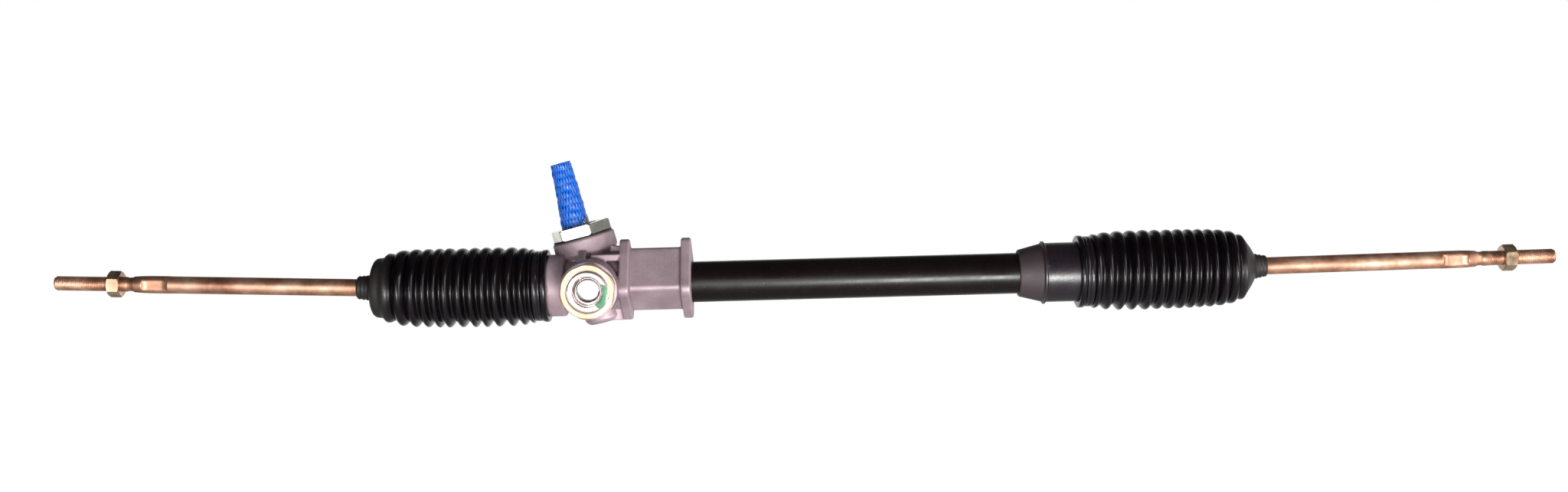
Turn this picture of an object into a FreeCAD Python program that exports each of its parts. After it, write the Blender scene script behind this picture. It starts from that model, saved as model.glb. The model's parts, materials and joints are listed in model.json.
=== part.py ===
import FreeCAD, Part
import math
import os
import Sketcher

# Rack-and-pinion steering rack with both tie rods.
# Millimetres. The origin is on the rack axis, midway between the two tie rod balls.
# +X runs along the rack away from the pinion, +Z is up and the rack guide faces -Y.

DIMENSIONS = [
    # Rack bar and its teeth
    ("rack_radius", 11.5),
    ("rack_half_length", 282.5),
    ("rack_end_chamfer", 1.5),
    ("rack_end_bore_depth", 26),
    ("rack_gap_count", 23),
    ("tooth_module", 2),
    ("tooth_pressure_angle", 20),
    ("tooth_shift", 0.9),
    ("tooth_backlash", 0.06),
    ("rack_addendum", 1.6),
    ("rack_dedendum", 1.75),
    # Pinion, measured along its own tilted axis from the mesh point
    ("mesh_x", -171.2),
    ("pinion_offset", 16),
    ("pinion_tilt", 14),
    ("pinion_tooth_count", 7),
    ("pinion_tip_radius", 9.6),
    ("pinion_root_radius", 6.05),
    ("pinion_tooth_half_length", 13),
    ("pinion_shoulder_radius", 10),
    ("pinion_shoulder_length", 7),
    ("pinion_bore_gap", 0.6),
    ("pinion_journal_radius", 8.5),
    ("pinion_tail_radius", 5),
    ("pinion_tail_end", -26.5),
    ("pinion_bore_end", -28),
    ("serration_radius", 6.8),
    ("serration_depth", 0.45),
    ("serration_count", 36),
    ("journal_end", 54),
    ("serration_start", 62),
    ("pinch_groove_start", 80),
    ("pinch_groove_length", 7),
    ("pinch_groove_depth", 1.6),
    ("pinion_end", 99.5),
    # Pinion bearings
    ("bearing_start", 20),
    ("bearing_width", 10),
    ("bearing_outer_radius", 17.5),
    ("bearing_race_wall", 2.6),
    ("bearing_ball_radius", 2.9),
    ("bearing_ball_count", 9),
    ("bearing_groove_gap", 0.05),
    ("bearing_cage_height", 3.4),
    ("bearing_cage_wall", 1.2),
    ("needle_radius", 1.25),
    ("needle_count", 14),
    ("needle_length", 9),
    ("needle_gap", 0.03),
    ("needle_cup_wall", 1),
    ("needle_cup_length", 11),
    ("needle_cup_start", -27),
    # Pinion plug, seals and net
    ("plug_thread_radius", 20),
    ("plug_flats", 43),
    ("plug_corner_radius", 24.6),
    ("plug_hex_height", 8.5),
    ("plug_hex_turn", -5.3),
    ("plug_bore_radius", 9.6),
    ("plug_seal_radius", 14),
    ("plug_seal_depth", 7),
    ("plug_edge_chamfer", 0.9),
    ("seal_ring_thickness", 1),
    ("seal_ring_radius", 22),
    ("oil_seal_lip", 2.2),
    ("oil_seal_wall", 1.5),
    ("oil_seal_edge", 0.4),
    ("tower_top", 39.1),
    ("net_base_radius", 11.3),
    ("net_waist_radius", 10.2),
    ("net_tip_radius", 7.9),
    ("net_waist_height", 30),
    ("net_wall", 0.9),
    ("net_end", 101.5),
    ("net_gap", 0.2),
    # Housing
    ("spigot_end_x", -220),
    ("spigot_radius", 24),
    ("spigot_bore_radius", 19),
    ("spigot_bore_depth", 12),
    ("collar_start_x", -206.5),
    ("collar_end_x", -193),
    ("collar_radius", 25),
    ("collar_round", 1.5),
    ("barrel_radius", 20),
    ("housing_bore_radius", 13.5),
    ("tower_radius", 25.6),
    ("tower_skirt_start", 27),
    ("tower_neck_start", 16),
    ("tower_neck_radius", 19),
    ("shoulder_width", 16),
    ("shoulder_place", 19),
    ("shoulder_height", 24),
    ("shoulder_far_reach", -32),
    ("shoulder_far_height", 31),
    ("tower_round", 1.5),
    ("lower_boss_radius", 17),
    ("lower_boss_start", -12),
    ("lower_boss_end", -32.5),
    ("lower_boss_round", 3),
    ("lower_boss_slope", 6),
    ("guide_boss_radius", 22.8),
    ("guide_boss_reach", 43),
    ("flange_one_x", -148.6),
    ("flange_two_x", -99.4),
    ("flange_width", 8),
    ("flange_side", 51.8),
    ("flange_corner", 7),
    ("flange_round", 1.5),
    ("block_side", 39.3),
    ("block_corner", 4),
    ("block_turn", 34),
    ("block_rise", 3.3),
    ("casting_overlap", 1),
    ("rib_width", 5.5),
    ("rib_place", -7),
    ("rib_height", 28),
    ("rib_foot_height", 20),
    ("rib_reach", 38),
    ("rib_top_reach", 14),
    ("shelf_thickness", 5),
    ("shelf_height", 20.5),
    ("shelf_reach", 17),
    ("web_thickness", 5),
    ("web_place", 3),
    ("web_top", 33),
    ("web_top_drop", 3),
    ("web_bottom", -30),
    ("web_bottom_start", 8),
    # Rack tube, end sleeve, bush and ring
    ("tube_wall", 3),
    ("tube_start_x", -130),
    ("tube_spigot_step", 1.5),
    ("tube_shoulder_x", -95.5),
    ("tube_end_x", 222),
    ("tube_end_chamfer", 0.8),
    ("sleeve_start_x", 172),
    ("sleeve_lip_wall", 2.5),
    ("sleeve_taper_x", 190.5),
    ("sleeve_taper_radius", 23.5),
    ("sleeve_ridge_width", 3.4),
    ("sleeve_ridge_radius", 25.4),
    ("sleeve_radius", 24),
    ("sleeve_end_x", 233),
    ("sleeve_cup_radius", 20.5),
    ("sleeve_edge_round", 0.8),
    ("sleeve_ridge_flat", 1.2),
    ("bush_length", 26),
    ("bush_setback", 4.5),
    ("bush_gap", 0.04),
    ("bush_wall", 1.96),
    ("bush_relief", 0.6),
    ("bush_land", 5),
    ("snap_ring_width", 1.4),
    ("snap_ring_depth", 1),
    ("snap_ring_lip", 1.2),
    ("snap_ring_opening", 8),
    # Rack guide, measured from the rack axis towards -Y
    ("guide_radius", 15),
    ("guide_face", 3),
    ("guide_back", 25),
    ("guide_float", 0.1),
    ("guide_bore_radius", 15.05),
    ("guide_thread_radius", 17.35),
    ("guide_thread_start", 24),
    ("liner_wall", 0.8),
    ("liner_half_angle", 70),
    ("liner_half_width", 8.5),
    ("rack_guide_gap", 0.02),
    ("guide_ring_wire", 1.2),
    ("guide_ring_side", 0.2),
    ("guide_ring_place", 17),
    ("spring_radius", 8),
    ("spring_wire", 1.2),
    ("spring_turns", 4.5),
    ("spring_pocket_radius", 10),
    ("spring_pocket_depth", 9),
    ("adjuster_end", 51.6),
    ("adjuster_pocket_depth", 12),
    ("adjuster_recess_radius", 11.9),
    ("adjuster_recess_depth", 6),
    ("adjuster_socket_flats", 19),
    ("adjuster_socket_depth", 5),
    ("adjuster_chamfer", 0.8),
    ("guide_nut_flats", 41),
    ("guide_nut_corner_radius", 22),
    ("guide_nut_height", 8),
    ("guide_nut_turn", -9),
    # Tie rod joints: the reach is from the rack's end to the ball centre, the rest from there
    ("joint_reach", 19.5),
    ("ball_radius", 13),
    ("ball_gap", 0.05),
    ("seat_wall", 1.5),
    ("seat_mouth_angle", 52),
    ("socket_radius", 17.6),
    ("socket_reach", 8),
    ("socket_mouth_step", 2.5),
    ("socket_taper", 5),
    ("socket_flats", 31),
    ("socket_flat_length", 9),
    ("socket_stud_radius", 7),
    ("socket_stud_length", 22),
    ("washer_thickness", 1.5),
    ("washer_radius", 16.5),
    ("washer_tab_width", 10),
    ("washer_tab_length", 7),
    ("washer_tab_lift", 0.2),
    ("rod_length", 305),
    ("rod_radius", 7),
    ("rod_neck_radius", 6.5),
    ("rod_neck_end", 20),
    ("thread_radius", 6),
    ("thread_length", 54),
    ("gripped_thread_radius", 5.6),
    ("gripped_thread_margin", 1),
    ("ring_radius", 7),
    ("ring_length", 4.6),
    ("rod_groove_radius", 5.5),
    ("rod_groove_length", 5),
    ("band_radius", 7.2),
    ("band_length", 7.5),
    ("wrench_flats", 11.5),
    ("wrench_length", 20.5),
    ("band_slope", 2),
    ("ring_slope", 1),
    ("groove_slope", 0.6),
    ("neck_slope", 6),
    ("ball_neck_angle", 30),
    ("rod_tip_chamfer", 1.2),
    ("rod_nut_flats", 19),
    ("rod_nut_height", 10),
    ("rod_nut_chamfer", 0.9),
    ("rod_nut_corner_cut", 0.2),
    ("left_rod_lift", 2.4),
    ("right_rod_lift", 0.45),
    ("left_nut_gap", 0.1),
    ("right_nut_gap", 11.2),
    ("left_nut_turn", 0),
    ("right_nut_turn", 0),
    # Bellows, measured from the cuff lip outwards
    ("left_bellows_x", 207.2),
    ("right_bellows_x", 219.5),
    ("left_bellows_lift", 0.95),
    ("right_bellows_lift", 0.18),
    ("bellows_lip_radius", 29.2),
    ("bellows_lip_length", 4.6),
    ("clamp_groove_radius", 27.2),
    ("clamp_groove_length", 7.6),
    ("bellows_cuff_length", 13.3),
    ("fold_count", 12),
    ("fold_pitch", 9.77),
    ("fold_crest_radius", 32.2),
    ("fold_valley_radius", 26.9),
    ("fold_first_radius", 30),
    ("fold_last_radius", 28.2),
    ("bellows_wall", 1.5),
    ("bellows_dome_wall", 2),
    ("bellows_step", 1),
    ("dome_start", 7.5),
    ("dome_start_radius", 24),
    ("dome_edge", 11),
    ("dome_edge_radius", 21.7),
    ("dome_foot", 15),
    ("dome_foot_radius", 10.4),
    ("bellows_cuff_gap", 0.3),
    ("bellows_neck_radius", 9.4),
    ("bellows_neck_length", 10.5),
    ("bellows_neck_gap", 0.5),
    ("clamp_thickness", 1),
    ("clamp_side_gap", 0.4),
    ("clamp_groove_depth", 0.5),
    ("clamp_tail_length", 6),
    ("clamp_tail_width", 5),
    ("clamp_tail_thickness", 1.6),
]

doc = FreeCAD.newDocument("steering_rack")
sheet = doc.addObject("Spreadsheet::Sheet", "sizes")
for row, (alias, number) in enumerate(DIMENSIONS, start=1):
    sheet.set(f"A{row}", alias.replace("_", " "))
    sheet.set(f"B{row}", str(number))
    sheet.setAlias(f"B{row}", alias)
doc.recompute()


class Size:
    """A number together with the sheet expression that gives it."""

    def __init__(self, value, text):
        self.value = float(value)
        self.text = text

    def __add__(self, other):
        other = as_size(other)
        return Size(self.value + other.value, f"({self.text} + {other.text})")

    def __radd__(self, other):
        return as_size(other) + self

    def __sub__(self, other):
        other = as_size(other)
        return Size(self.value - other.value, f"({self.text} - {other.text})")

    def __rsub__(self, other):
        return as_size(other) - self

    def __mul__(self, other):
        other = as_size(other)
        return Size(self.value * other.value, f"({self.text} * {other.text})")

    def __rmul__(self, other):
        return as_size(other) * self

    def __truediv__(self, other):
        other = as_size(other)
        return Size(self.value / other.value, f"({self.text} / {other.text})")

    def __neg__(self):
        return as_size(0) - self


def as_size(number):
    """A plain number as a Size; a Size as it is."""
    if isinstance(number, Size):
        return number
    return Size(number, f"({number})" if number < 0 else f"{number}")


def size(alias):
    """The named cell of the sheet."""
    return Size(getattr(sheet, alias), f"sizes.{alias}")


def cosine(angle):
    return Size(math.cos(math.radians(angle.value)), f"cos({angle.text})")


def sine(angle):
    return Size(math.sin(math.radians(angle.value)), f"sin({angle.text})")


def tangent(angle):
    return Size(math.tan(math.radians(angle.value)), f"tan({angle.text})")


def bind(thing, name, amount):
    """Sets a property path to a Size and ties it to the sheet."""
    amount = as_size(amount)
    if "." not in name:
        setattr(thing, name, amount.value)
    thing.setExpression(name, amount.text)


NODES = []


def place(thing, x=0, y=0, z=0, axis=(0, 0, 1), turn=None):
    """Gives a sub-part its place, tied to the sheet."""
    x, y, z = as_size(x), as_size(y), as_size(z)
    angle = 0 if turn is None else as_size(turn).value
    thing.Placement = FreeCAD.Placement(
        FreeCAD.Vector(x.value, y.value, z.value), FreeCAD.Rotation(FreeCAD.Vector(*axis), angle)
    )
    for letter, amount in (("x", x), ("y", y), ("z", z)):
        thing.setExpression(f"Placement.Base.{letter}", amount.text)
    if isinstance(turn, Size):
        thing.setExpression("Placement.Rotation.Angle", turn.text)


def new_body(label, **where):
    """A sub-part of its own, at its place."""
    body = doc.addObject("PartDesign::Body", label)
    body.Label = label
    place(body, **where)
    NODES.append(body)
    return body


def origin_feature(body, role):
    return next(item for item in body.Origin.OriginFeatures if item.Role == role)


def new_sketch(body, name, plane, shift=(0, 0, 0), turn=None):
    """A sketch on one of the body's own origin planes, moved and turned in that plane's frame."""
    sketch = body.newObject("Sketcher::SketchObject", f"{body.Label}_{name}")
    sketch.AttachmentSupport = [(origin_feature(body, f"{plane}_Plane"), "")]
    sketch.MapMode = "FlatFace"
    shift = [as_size(amount) for amount in shift]
    angle = 0 if turn is None else as_size(turn).value
    sketch.AttachmentOffset = FreeCAD.Placement(
        FreeCAD.Vector(*[amount.value for amount in shift]),
        FreeCAD.Rotation(FreeCAD.Vector(0, 0, 1), angle),
    )
    for letter, amount in zip("xyz", shift):
        sketch.setExpression(f"AttachmentOffset.Base.{letter}", amount.text)
    if isinstance(turn, Size):
        sketch.setExpression("AttachmentOffset.Rotation.Angle", turn.text)
    return sketch


def fix_point(sketch, line, end, u, v):
    """Ties one sketch point to its two sheet coordinates."""
    for kind, axis, amount in (("DistanceX", -2, as_size(u)), ("DistanceY", -1, as_size(v))):
        if amount.text == "0":
            sketch.addConstraint(Sketcher.Constraint("PointOnObject", line, end, axis))
            continue
        index = sketch.addConstraint(Sketcher.Constraint(kind, -1, 1, line, end, amount.value))
        sketch.setExpression(f"Constraints[{index}]", amount.text)


def outline(sketch, corners):
    """Draws a closed outline. A third value at a corner bows the side after it: its radius."""
    spots = [FreeCAD.Vector(as_size(c[0]).value, as_size(c[1]).value, 0) for c in corners]
    first = sketch.GeometryCount
    count = len(corners)
    starts = []
    for index, corner in enumerate(corners):
        here, there = spots[index], spots[(index + 1) % count]
        if len(corner) == 2:
            sketch.addGeometry(Part.LineSegment(here, there), False)
            starts.append((1, 2))
            continue
        radius = as_size(corner[2]).value
        chord = there - here
        side = 1 if radius > 0 else -1
        height = math.sqrt(max(radius**2 - chord.Length**2 / 4, 0))
        centre = (here + there) * 0.5 + FreeCAD.Vector(-chord.y, chord.x, 0).normalize() * (side * height)
        circle = Part.Circle(centre, FreeCAD.Vector(0, 0, 1), abs(radius))
        angles = [math.atan2(p.y - centre.y, p.x - centre.x) for p in (here, there)]
        if radius > 0:
            sketch.addGeometry(Part.ArcOfCircle(circle, angles[0], angles[1]), False)
            starts.append((1, 2))
        else:
            sketch.addGeometry(Part.ArcOfCircle(circle, angles[1], angles[0]), False)
            starts.append((2, 1))
    for index in range(count):
        after = (index + 1) % count
        sketch.addConstraint(
            Sketcher.Constraint(
                "Coincident", first + index, starts[index][1], first + after, starts[after][0]
            )
        )
    for index, corner in enumerate(corners):
        fix_point(sketch, first + index, starts[index][0], corner[0], corner[1])
        if len(corner) == 3:
            radius = as_size(corner[2])
            place_in_list = sketch.addConstraint(
                Sketcher.Constraint("Radius", first + index, abs(radius.value))
            )
            sketch.setExpression(
                f"Constraints[{place_in_list}]", radius.text if radius.value > 0 else (-radius).text
            )


def ring(sketch, radius, u=0, v=0):
    """Draws a circle tied to the sheet."""
    index = sketch.addGeometry(
        Part.Circle(
            FreeCAD.Vector(as_size(u).value, as_size(v).value, 0),
            FreeCAD.Vector(0, 0, 1),
            as_size(radius).value,
        ),
        False,
    )
    fix_point(sketch, index, 3, u, v)
    constraint = sketch.addConstraint(Sketcher.Constraint("Radius", index, as_size(radius).value))
    sketch.setExpression(f"Constraints[{constraint}]", as_size(radius).text)


def turned(body, name, corners, cut=False, plane="XY", axis="H_Axis", shift=(0, 0, 0), turn=None):
    """Turns an outline about a sketch axis, adding it to the body or cutting it away."""
    sketch = new_sketch(body, name, plane, shift, turn)
    outline(sketch, corners)
    kind = "PartDesign::Groove" if cut else "PartDesign::Revolution"
    before = body.Shape.Volume if cut else 0
    feature = body.newObject(kind, f"{body.Label}_{name}_{'groove' if cut else 'turning'}")
    feature.Profile = sketch
    feature.ReferenceAxis = (sketch, [axis])
    feature.Angle = 360
    doc.recompute()
    if cut:
        check_cut(body, before)
    return feature


def check_cut(body, before):
    """Stops if a cut has taken nothing away."""
    if not body.Shape.Volume < before - 0.01:
        raise RuntimeError(f"a cut in {body.Label} took nothing away")


def extruded(body, sketch, length, cut=False, midplane=False, back=False):
    """Pads a sketch, or pockets with it, along the plane's normal or back from it."""
    before = body.Shape.Volume if cut else 0
    kind = "PartDesign::Pocket" if cut else "PartDesign::Pad"
    feature = body.newObject(kind, f"{sketch.Label}_{'pocket' if cut else 'pad'}")
    feature.Profile = sketch
    bind(feature, "Length", length)
    feature.Midplane = midplane
    feature.Reversed = back != cut
    doc.recompute()
    if cut:
        check_cut(body, before)
    return feature


def hexagon(flats, turn=0):
    """The corners of a hexagon across the given flats, with a flat towards the first axis."""
    radius = as_size(flats) / 2 / cosine(as_size(30))
    corners = []
    for step in range(6):
        angle = as_size(turn) + 30 + 60 * step
        corners.append((radius * cosine(angle), radius * sine(angle)))
    return corners


def round_edges(body, radius, wanted, name):
    """Rounds the edges of the body's last feature that the test accepts."""
    base = body.Tip
    names = [f"Edge{i + 1}" for i, edge in enumerate(base.Shape.Edges) if wanted(edge)]
    if not names:
        raise RuntimeError(f"no edge to round in {body.Label}")
    fillet = body.newObject("PartDesign::Fillet", f"{body.Label}_{name}")
    fillet.Base = (base, names)
    bind(fillet, "Radius", radius)
    doc.recompute()
    return fillet


def repeated(body, feature, count, name):
    """Repeats a feature evenly about the body's X axis."""
    pattern = body.newObject("PartDesign::PolarPattern", f"{body.Label}_{name}")
    pattern.Originals = [feature]
    pattern.Axis = (origin_feature(body, "X_Axis"), [""])
    pattern.Angle = 360
    pattern.Occurrences = int(as_size(count).value)
    pattern.setExpression("Occurrences", as_size(count).text)
    body.Tip = pattern
    doc.recompute()
    return pattern


def length_along(start, end):
    """The distance between two places on one line."""
    return as_size(end) - as_size(start)


# The pinion's local X axis is its shaft; it leans back over the rack and passes behind it.
PINION_PLACE = dict(
    x=size("mesh_x"), y=size("pinion_offset"), axis=(0, 1, 0), turn=-(size("pinion_tilt") + 90)
)
# The guide's local X axis points from the rack axis towards -Y.
GUIDE_PLACE = dict(x=size("mesh_x"), axis=(0, 0, 1), turn=as_size(-90))

pitch_radius = size("tooth_module") * size("pinion_tooth_count") / 2 / cosine(size("pinion_tilt"))
rack_line = size("pinion_offset") - pitch_radius - size("tooth_shift")
tooth_pitch = size("tooth_module") * math.pi
bearing_end = size("bearing_start") + size("bearing_width")
plug_base = size("tower_top") + size("seal_ring_thickness")
plug_top = plug_base + size("plug_hex_height")
needle_track = size("pinion_tail_radius") + size("needle_radius") + size("needle_gap")
needle_cup_bore = needle_track + size("needle_radius") + size("needle_gap")
needle_cup_radius = needle_cup_bore + size("needle_cup_wall")
adjuster_start = size("guide_back") + size("guide_float")
block_end_x = size("flange_two_x") + size("flange_width")


def in_housing(x):
    """A place along the rack in the housing's own frame, whose origin is at the mesh."""
    return size(x) - size("mesh_x") if isinstance(x, str) else x - size("mesh_x")


def rounded_square(side, corner):
    """A square about the origin with rounded corners."""
    half = side / 2
    near = half - corner
    return [
        (half, -near), (half, near, corner),
        (near, half), (-near, half, corner),
        (-half, near), (-half, -near, corner),
        (-near, -half), (near, -half, corner),
    ]


# Gear housing: one casting with the rack barrel, the leaning pinion tower, the guide boss
# and the square block that the vehicle's clamp holds.
housing = new_body("gear_housing", x=size("mesh_x"))
block = new_sketch(
    housing, "block", "YZ", shift=(0, size("block_rise"), in_housing("flange_one_x")),
    turn=-size("block_turn"),
)
outline(block, rounded_square(size("block_side"), size("block_corner")))
extruded(housing, block, block_end_x - size("flange_one_x"))
for order in ("one", "two"):
    start = in_housing(f"flange_{order}_x")
    flange = new_sketch(
        housing, f"flange_{order}", "YZ", shift=(0, size("block_rise"), start),
        turn=-size("block_turn"),
    )
    outline(flange, rounded_square(size("flange_side"), size("flange_corner")))
    extruded(housing, flange, size("flange_width"))
    low, high = start.value, start.value + sheet.flange_width

    def on_flange_rim(edge):
        box = edge.BoundBox
        flat = box.XLength < 0.01 and min(abs(box.XMin - low), abs(box.XMin - high)) < 0.01
        middle = edge.CenterOfMass
        away = math.hypot(middle.y, middle.z - sheet.block_rise)
        return flat and away > sheet.flange_side / 2 - 0.5

    round_edges(housing, size("flange_round"), on_flange_rim, f"flange_{order}_rounding")
turned(housing, "barrel", [
    (in_housing("spigot_end_x"), 0),
    (in_housing("spigot_end_x"), size("spigot_radius")),
    (in_housing("collar_start_x"), size("spigot_radius")),
    (in_housing("collar_start_x"), size("collar_radius")),
    (in_housing("collar_end_x") - size("collar_round"), size("collar_radius")),
    (in_housing("collar_end_x"), size("collar_radius") - size("collar_round")),
    (in_housing("collar_end_x"), size("barrel_radius")),
    (in_housing("flange_one_x") + size("casting_overlap"), size("barrel_radius")),
    (in_housing("flange_one_x") + size("casting_overlap"), 0),
])
tower_frame = dict(
    plane="XZ", axis="V_Axis", shift=(0, 0, -size("pinion_offset")), turn=size("pinion_tilt")
)
turned(housing, "tower", [
    (0, size("lower_boss_end")),
    (size("lower_boss_radius") - size("lower_boss_round"), size("lower_boss_end")),
    (size("lower_boss_radius"), size("lower_boss_end") + size("lower_boss_round")),
    (size("lower_boss_radius"), size("lower_boss_start")),
    (size("tower_neck_radius"), size("lower_boss_start") + size("lower_boss_slope")),
    (size("tower_neck_radius"), size("tower_neck_start")),
    (size("tower_radius"), size("tower_skirt_start")),
    (size("tower_radius"), size("tower_top") - size("tower_round")),
    (size("tower_radius") - size("tower_round"), size("tower_top")),
    (0, size("tower_top")),
], **tower_frame)
boss = new_sketch(housing, "guide_boss", "XZ")
ring(boss, size("guide_boss_radius"))
extruded(housing, boss, size("guide_boss_reach"))
rib = new_sketch(housing, "rib", "YZ", shift=(0, 0, size("rib_place")))
outline(rib, [
    (0, 0),
    (0, size("rib_height")),
    (-size("rib_top_reach"), size("rib_height")),
    (-size("rib_reach"), size("rib_foot_height")),
    (-size("rib_reach"), 0),
])
extruded(housing, rib, size("rib_width"), midplane=True)
shelf = new_sketch(housing, "shelf", "YZ")
outline(shelf, [
    (size("web_place"), size("shelf_height")),
    (size("web_place"), size("shelf_height") + size("shelf_thickness")),
    (-size("shelf_reach"), size("shelf_height") + size("shelf_thickness")),
    (-size("shelf_reach"), size("shelf_height")),
])
extruded(housing, shelf, in_housing("flange_one_x") + size("casting_overlap"))
web = new_sketch(housing, "web", "XZ", shift=(0, 0, -size("web_place")))
outline(web, [
    (0, 0),
    (0, size("web_top")),
    (in_housing("flange_one_x") + size("casting_overlap"), size("web_top") - size("web_top_drop")),
    (in_housing("flange_one_x") + size("casting_overlap"), size("web_bottom")),
    (size("web_bottom_start"), size("web_bottom")),
    (size("web_bottom_start"), 0),
])
extruded(housing, web, size("web_thickness"), back=True)
shoulder = new_sketch(housing, "shoulder", "XZ", shift=(0, 0, -size("shoulder_place")))
outline(shoulder, [
    (0, 0),
    (in_housing("collar_end_x") - size("collar_round"), 0),
    (in_housing("collar_end_x") - size("collar_round"), size("shoulder_height")),
    (size("shoulder_far_reach"), size("shoulder_far_height")),
    (0, size("shoulder_far_height")),
])
extruded(housing, shoulder, size("shoulder_width"))
bush_bore = size("rack_radius") + size("bush_gap")
tube_bore_radius = bush_bore + size("bush_wall")
tube_radius = tube_bore_radius + size("tube_wall")
tube_spigot_radius = tube_radius - size("tube_spigot_step")
turned(housing, "rack_bore", [
    (in_housing("spigot_end_x"), 0),
    (in_housing("spigot_end_x"), size("spigot_bore_radius")),
    (in_housing("spigot_end_x") + size("spigot_bore_depth"), size("spigot_bore_radius")),
    (in_housing("spigot_end_x") + size("spigot_bore_depth"), size("housing_bore_radius")),
    (in_housing("tube_start_x"), size("housing_bore_radius")),
    (in_housing("tube_start_x"), tube_spigot_radius),
    (in_housing("tube_shoulder_x"), tube_spigot_radius),
    (in_housing("tube_shoulder_x"), tube_radius),
    (in_housing(block_end_x), tube_radius),
    (in_housing(block_end_x), 0),
], cut=True)
pinion_bore_radius = size("pinion_shoulder_radius") + size("pinion_bore_gap")
turned(housing, "pinion_bore", [
    (0, size("pinion_bore_end")),
    (needle_cup_radius, size("pinion_bore_end")),
    (needle_cup_radius, size("needle_cup_start") + size("needle_cup_length")),
    (pinion_bore_radius, size("needle_cup_start") + size("needle_cup_length")),
    (pinion_bore_radius, size("bearing_start")),
    (size("bearing_outer_radius"), size("bearing_start")),
    (size("bearing_outer_radius"), bearing_end),
    (size("plug_thread_radius"), bearing_end),
    (size("plug_thread_radius"), size("tower_top")),
    (0, size("tower_top")),
], cut=True, **tower_frame)
turned(housing, "guide_bore", [
    (0, 0),
    (size("guide_bore_radius"), 0),
    (size("guide_bore_radius"), -size("guide_thread_start")),
    (size("guide_thread_radius"), -size("guide_thread_start")),
    (size("guide_thread_radius"), -size("guide_boss_reach")),
    (0, -size("guide_boss_reach")),
], cut=True, axis="V_Axis")

# Rack tube; its turned-down end is pressed into the housing's block
tube = new_body("rack_tube")
turned(tube, "wall", [
    (size("tube_start_x"), tube_bore_radius),
    (size("tube_start_x"), tube_spigot_radius),
    (size("tube_shoulder_x"), tube_spigot_radius),
    (size("tube_shoulder_x"), tube_radius),
    (size("tube_end_x") - size("tube_end_chamfer"), tube_radius),
    (size("tube_end_x"), tube_radius - size("tube_end_chamfer")),
    (size("tube_end_x"), tube_bore_radius),
])
snap_end_x = size("tube_end_x") - size("bush_setback") + size("snap_ring_width")
snap_start_x = size("tube_end_x") - size("bush_setback")
snap_outer_radius = tube_bore_radius + size("snap_ring_depth")
turned(tube, "snap_groove", [
    (snap_start_x, tube_bore_radius - 1),
    (snap_start_x, snap_outer_radius),
    (snap_end_x, snap_outer_radius),
    (snap_end_x, tube_bore_radius - 1),
], cut=True)

# Moulded sleeve over the tube's far end: a taper, a ridge and a cup that the joint enters
sleeve = new_body("tube_end_sleeve")
sleeve_lip_radius = tube_radius + size("sleeve_lip_wall")
ridge_end_x = size("sleeve_taper_x") + size("sleeve_ridge_width")
ridge_shoulder_x = (size("sleeve_taper_x") + ridge_end_x - size("sleeve_ridge_flat")) / 2
turned(sleeve, "wall", [
    (size("sleeve_start_x"), tube_radius),
    (size("sleeve_start_x"), sleeve_lip_radius - size("sleeve_edge_round")),
    (size("sleeve_start_x") + size("sleeve_edge_round"), sleeve_lip_radius),
    (size("sleeve_taper_x"), size("sleeve_taper_radius")),
    (ridge_shoulder_x, size("sleeve_ridge_radius")),
    (ridge_shoulder_x + size("sleeve_ridge_flat"), size("sleeve_ridge_radius")),
    (ridge_end_x, size("sleeve_radius")),
    (size("sleeve_end_x") - size("sleeve_edge_round"), size("sleeve_radius")),
    (size("sleeve_end_x"), size("sleeve_radius") - size("sleeve_edge_round")),
    (size("sleeve_end_x"), size("sleeve_cup_radius")),
    (size("tube_end_x"), size("sleeve_cup_radius")),
    (size("tube_end_x"), tube_radius),
])

# Plastic bush that carries the rack's plain end, and the ring that holds it
rack_bush = new_body("rack_bush", x=snap_start_x - size("bush_length"))
turned(rack_bush, "wall", [
    (0, bush_bore),
    (0, tube_bore_radius),
    (size("bush_length"), tube_bore_radius),
    (size("bush_length"), bush_bore),
    (size("bush_length") - size("bush_land"), bush_bore),
    (size("bush_length") - size("bush_land"), bush_bore + size("bush_relief")),
    (size("bush_land"), bush_bore + size("bush_relief")),
    (size("bush_land"), bush_bore),
])
snap_ring = new_body("rack_bush_snap_ring", x=snap_start_x)
turned(snap_ring, "wire", [
    (0, tube_bore_radius - size("snap_ring_lip")),
    (0, snap_outer_radius),
    (size("snap_ring_width"), snap_outer_radius),
    (size("snap_ring_width"), tube_bore_radius - size("snap_ring_lip")),
])
gap = new_sketch(snap_ring, "opening", "YZ")
outline(gap, [
    (-size("snap_ring_opening") / 2, -snap_outer_radius - 1),
    (size("snap_ring_opening") / 2, -snap_outer_radius - 1),
    (size("snap_ring_opening") / 2, -size("snap_ring_lip")),
    (-size("snap_ring_opening") / 2, -size("snap_ring_lip")),
])
extruded(snap_ring, gap, size("snap_ring_width"), cut=True)

# Rack bar: a round bar with a toothed flat facing the pinion and a threaded bore in each end
rack = new_body("rack_bar")
turned(rack, "bar", [
    (-size("rack_half_length"), 0),
    (-size("rack_half_length"), size("rack_radius") - size("rack_end_chamfer")),
    (-size("rack_half_length") + size("rack_end_chamfer"), size("rack_radius")),
    (size("rack_half_length") - size("rack_end_chamfer"), size("rack_radius")),
    (size("rack_half_length"), size("rack_radius") - size("rack_end_chamfer")),
    (size("rack_half_length"), 0),
])
for side, name in ((-1, "left_bore"), (1, "right_bore")):
    turned(rack, name, [
        (side * (size("rack_half_length") - size("rack_end_bore_depth")), 0),
        (side * (size("rack_half_length") - size("rack_end_bore_depth")), size("socket_stud_radius")),
        (side * size("rack_half_length"), size("socket_stud_radius")),
        (side * size("rack_half_length"), 0),
    ], cut=True)
toothed_half = tooth_pitch * size("rack_gap_count") / 2
flat = new_sketch(rack, "tooth_flat", "XY")
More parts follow.
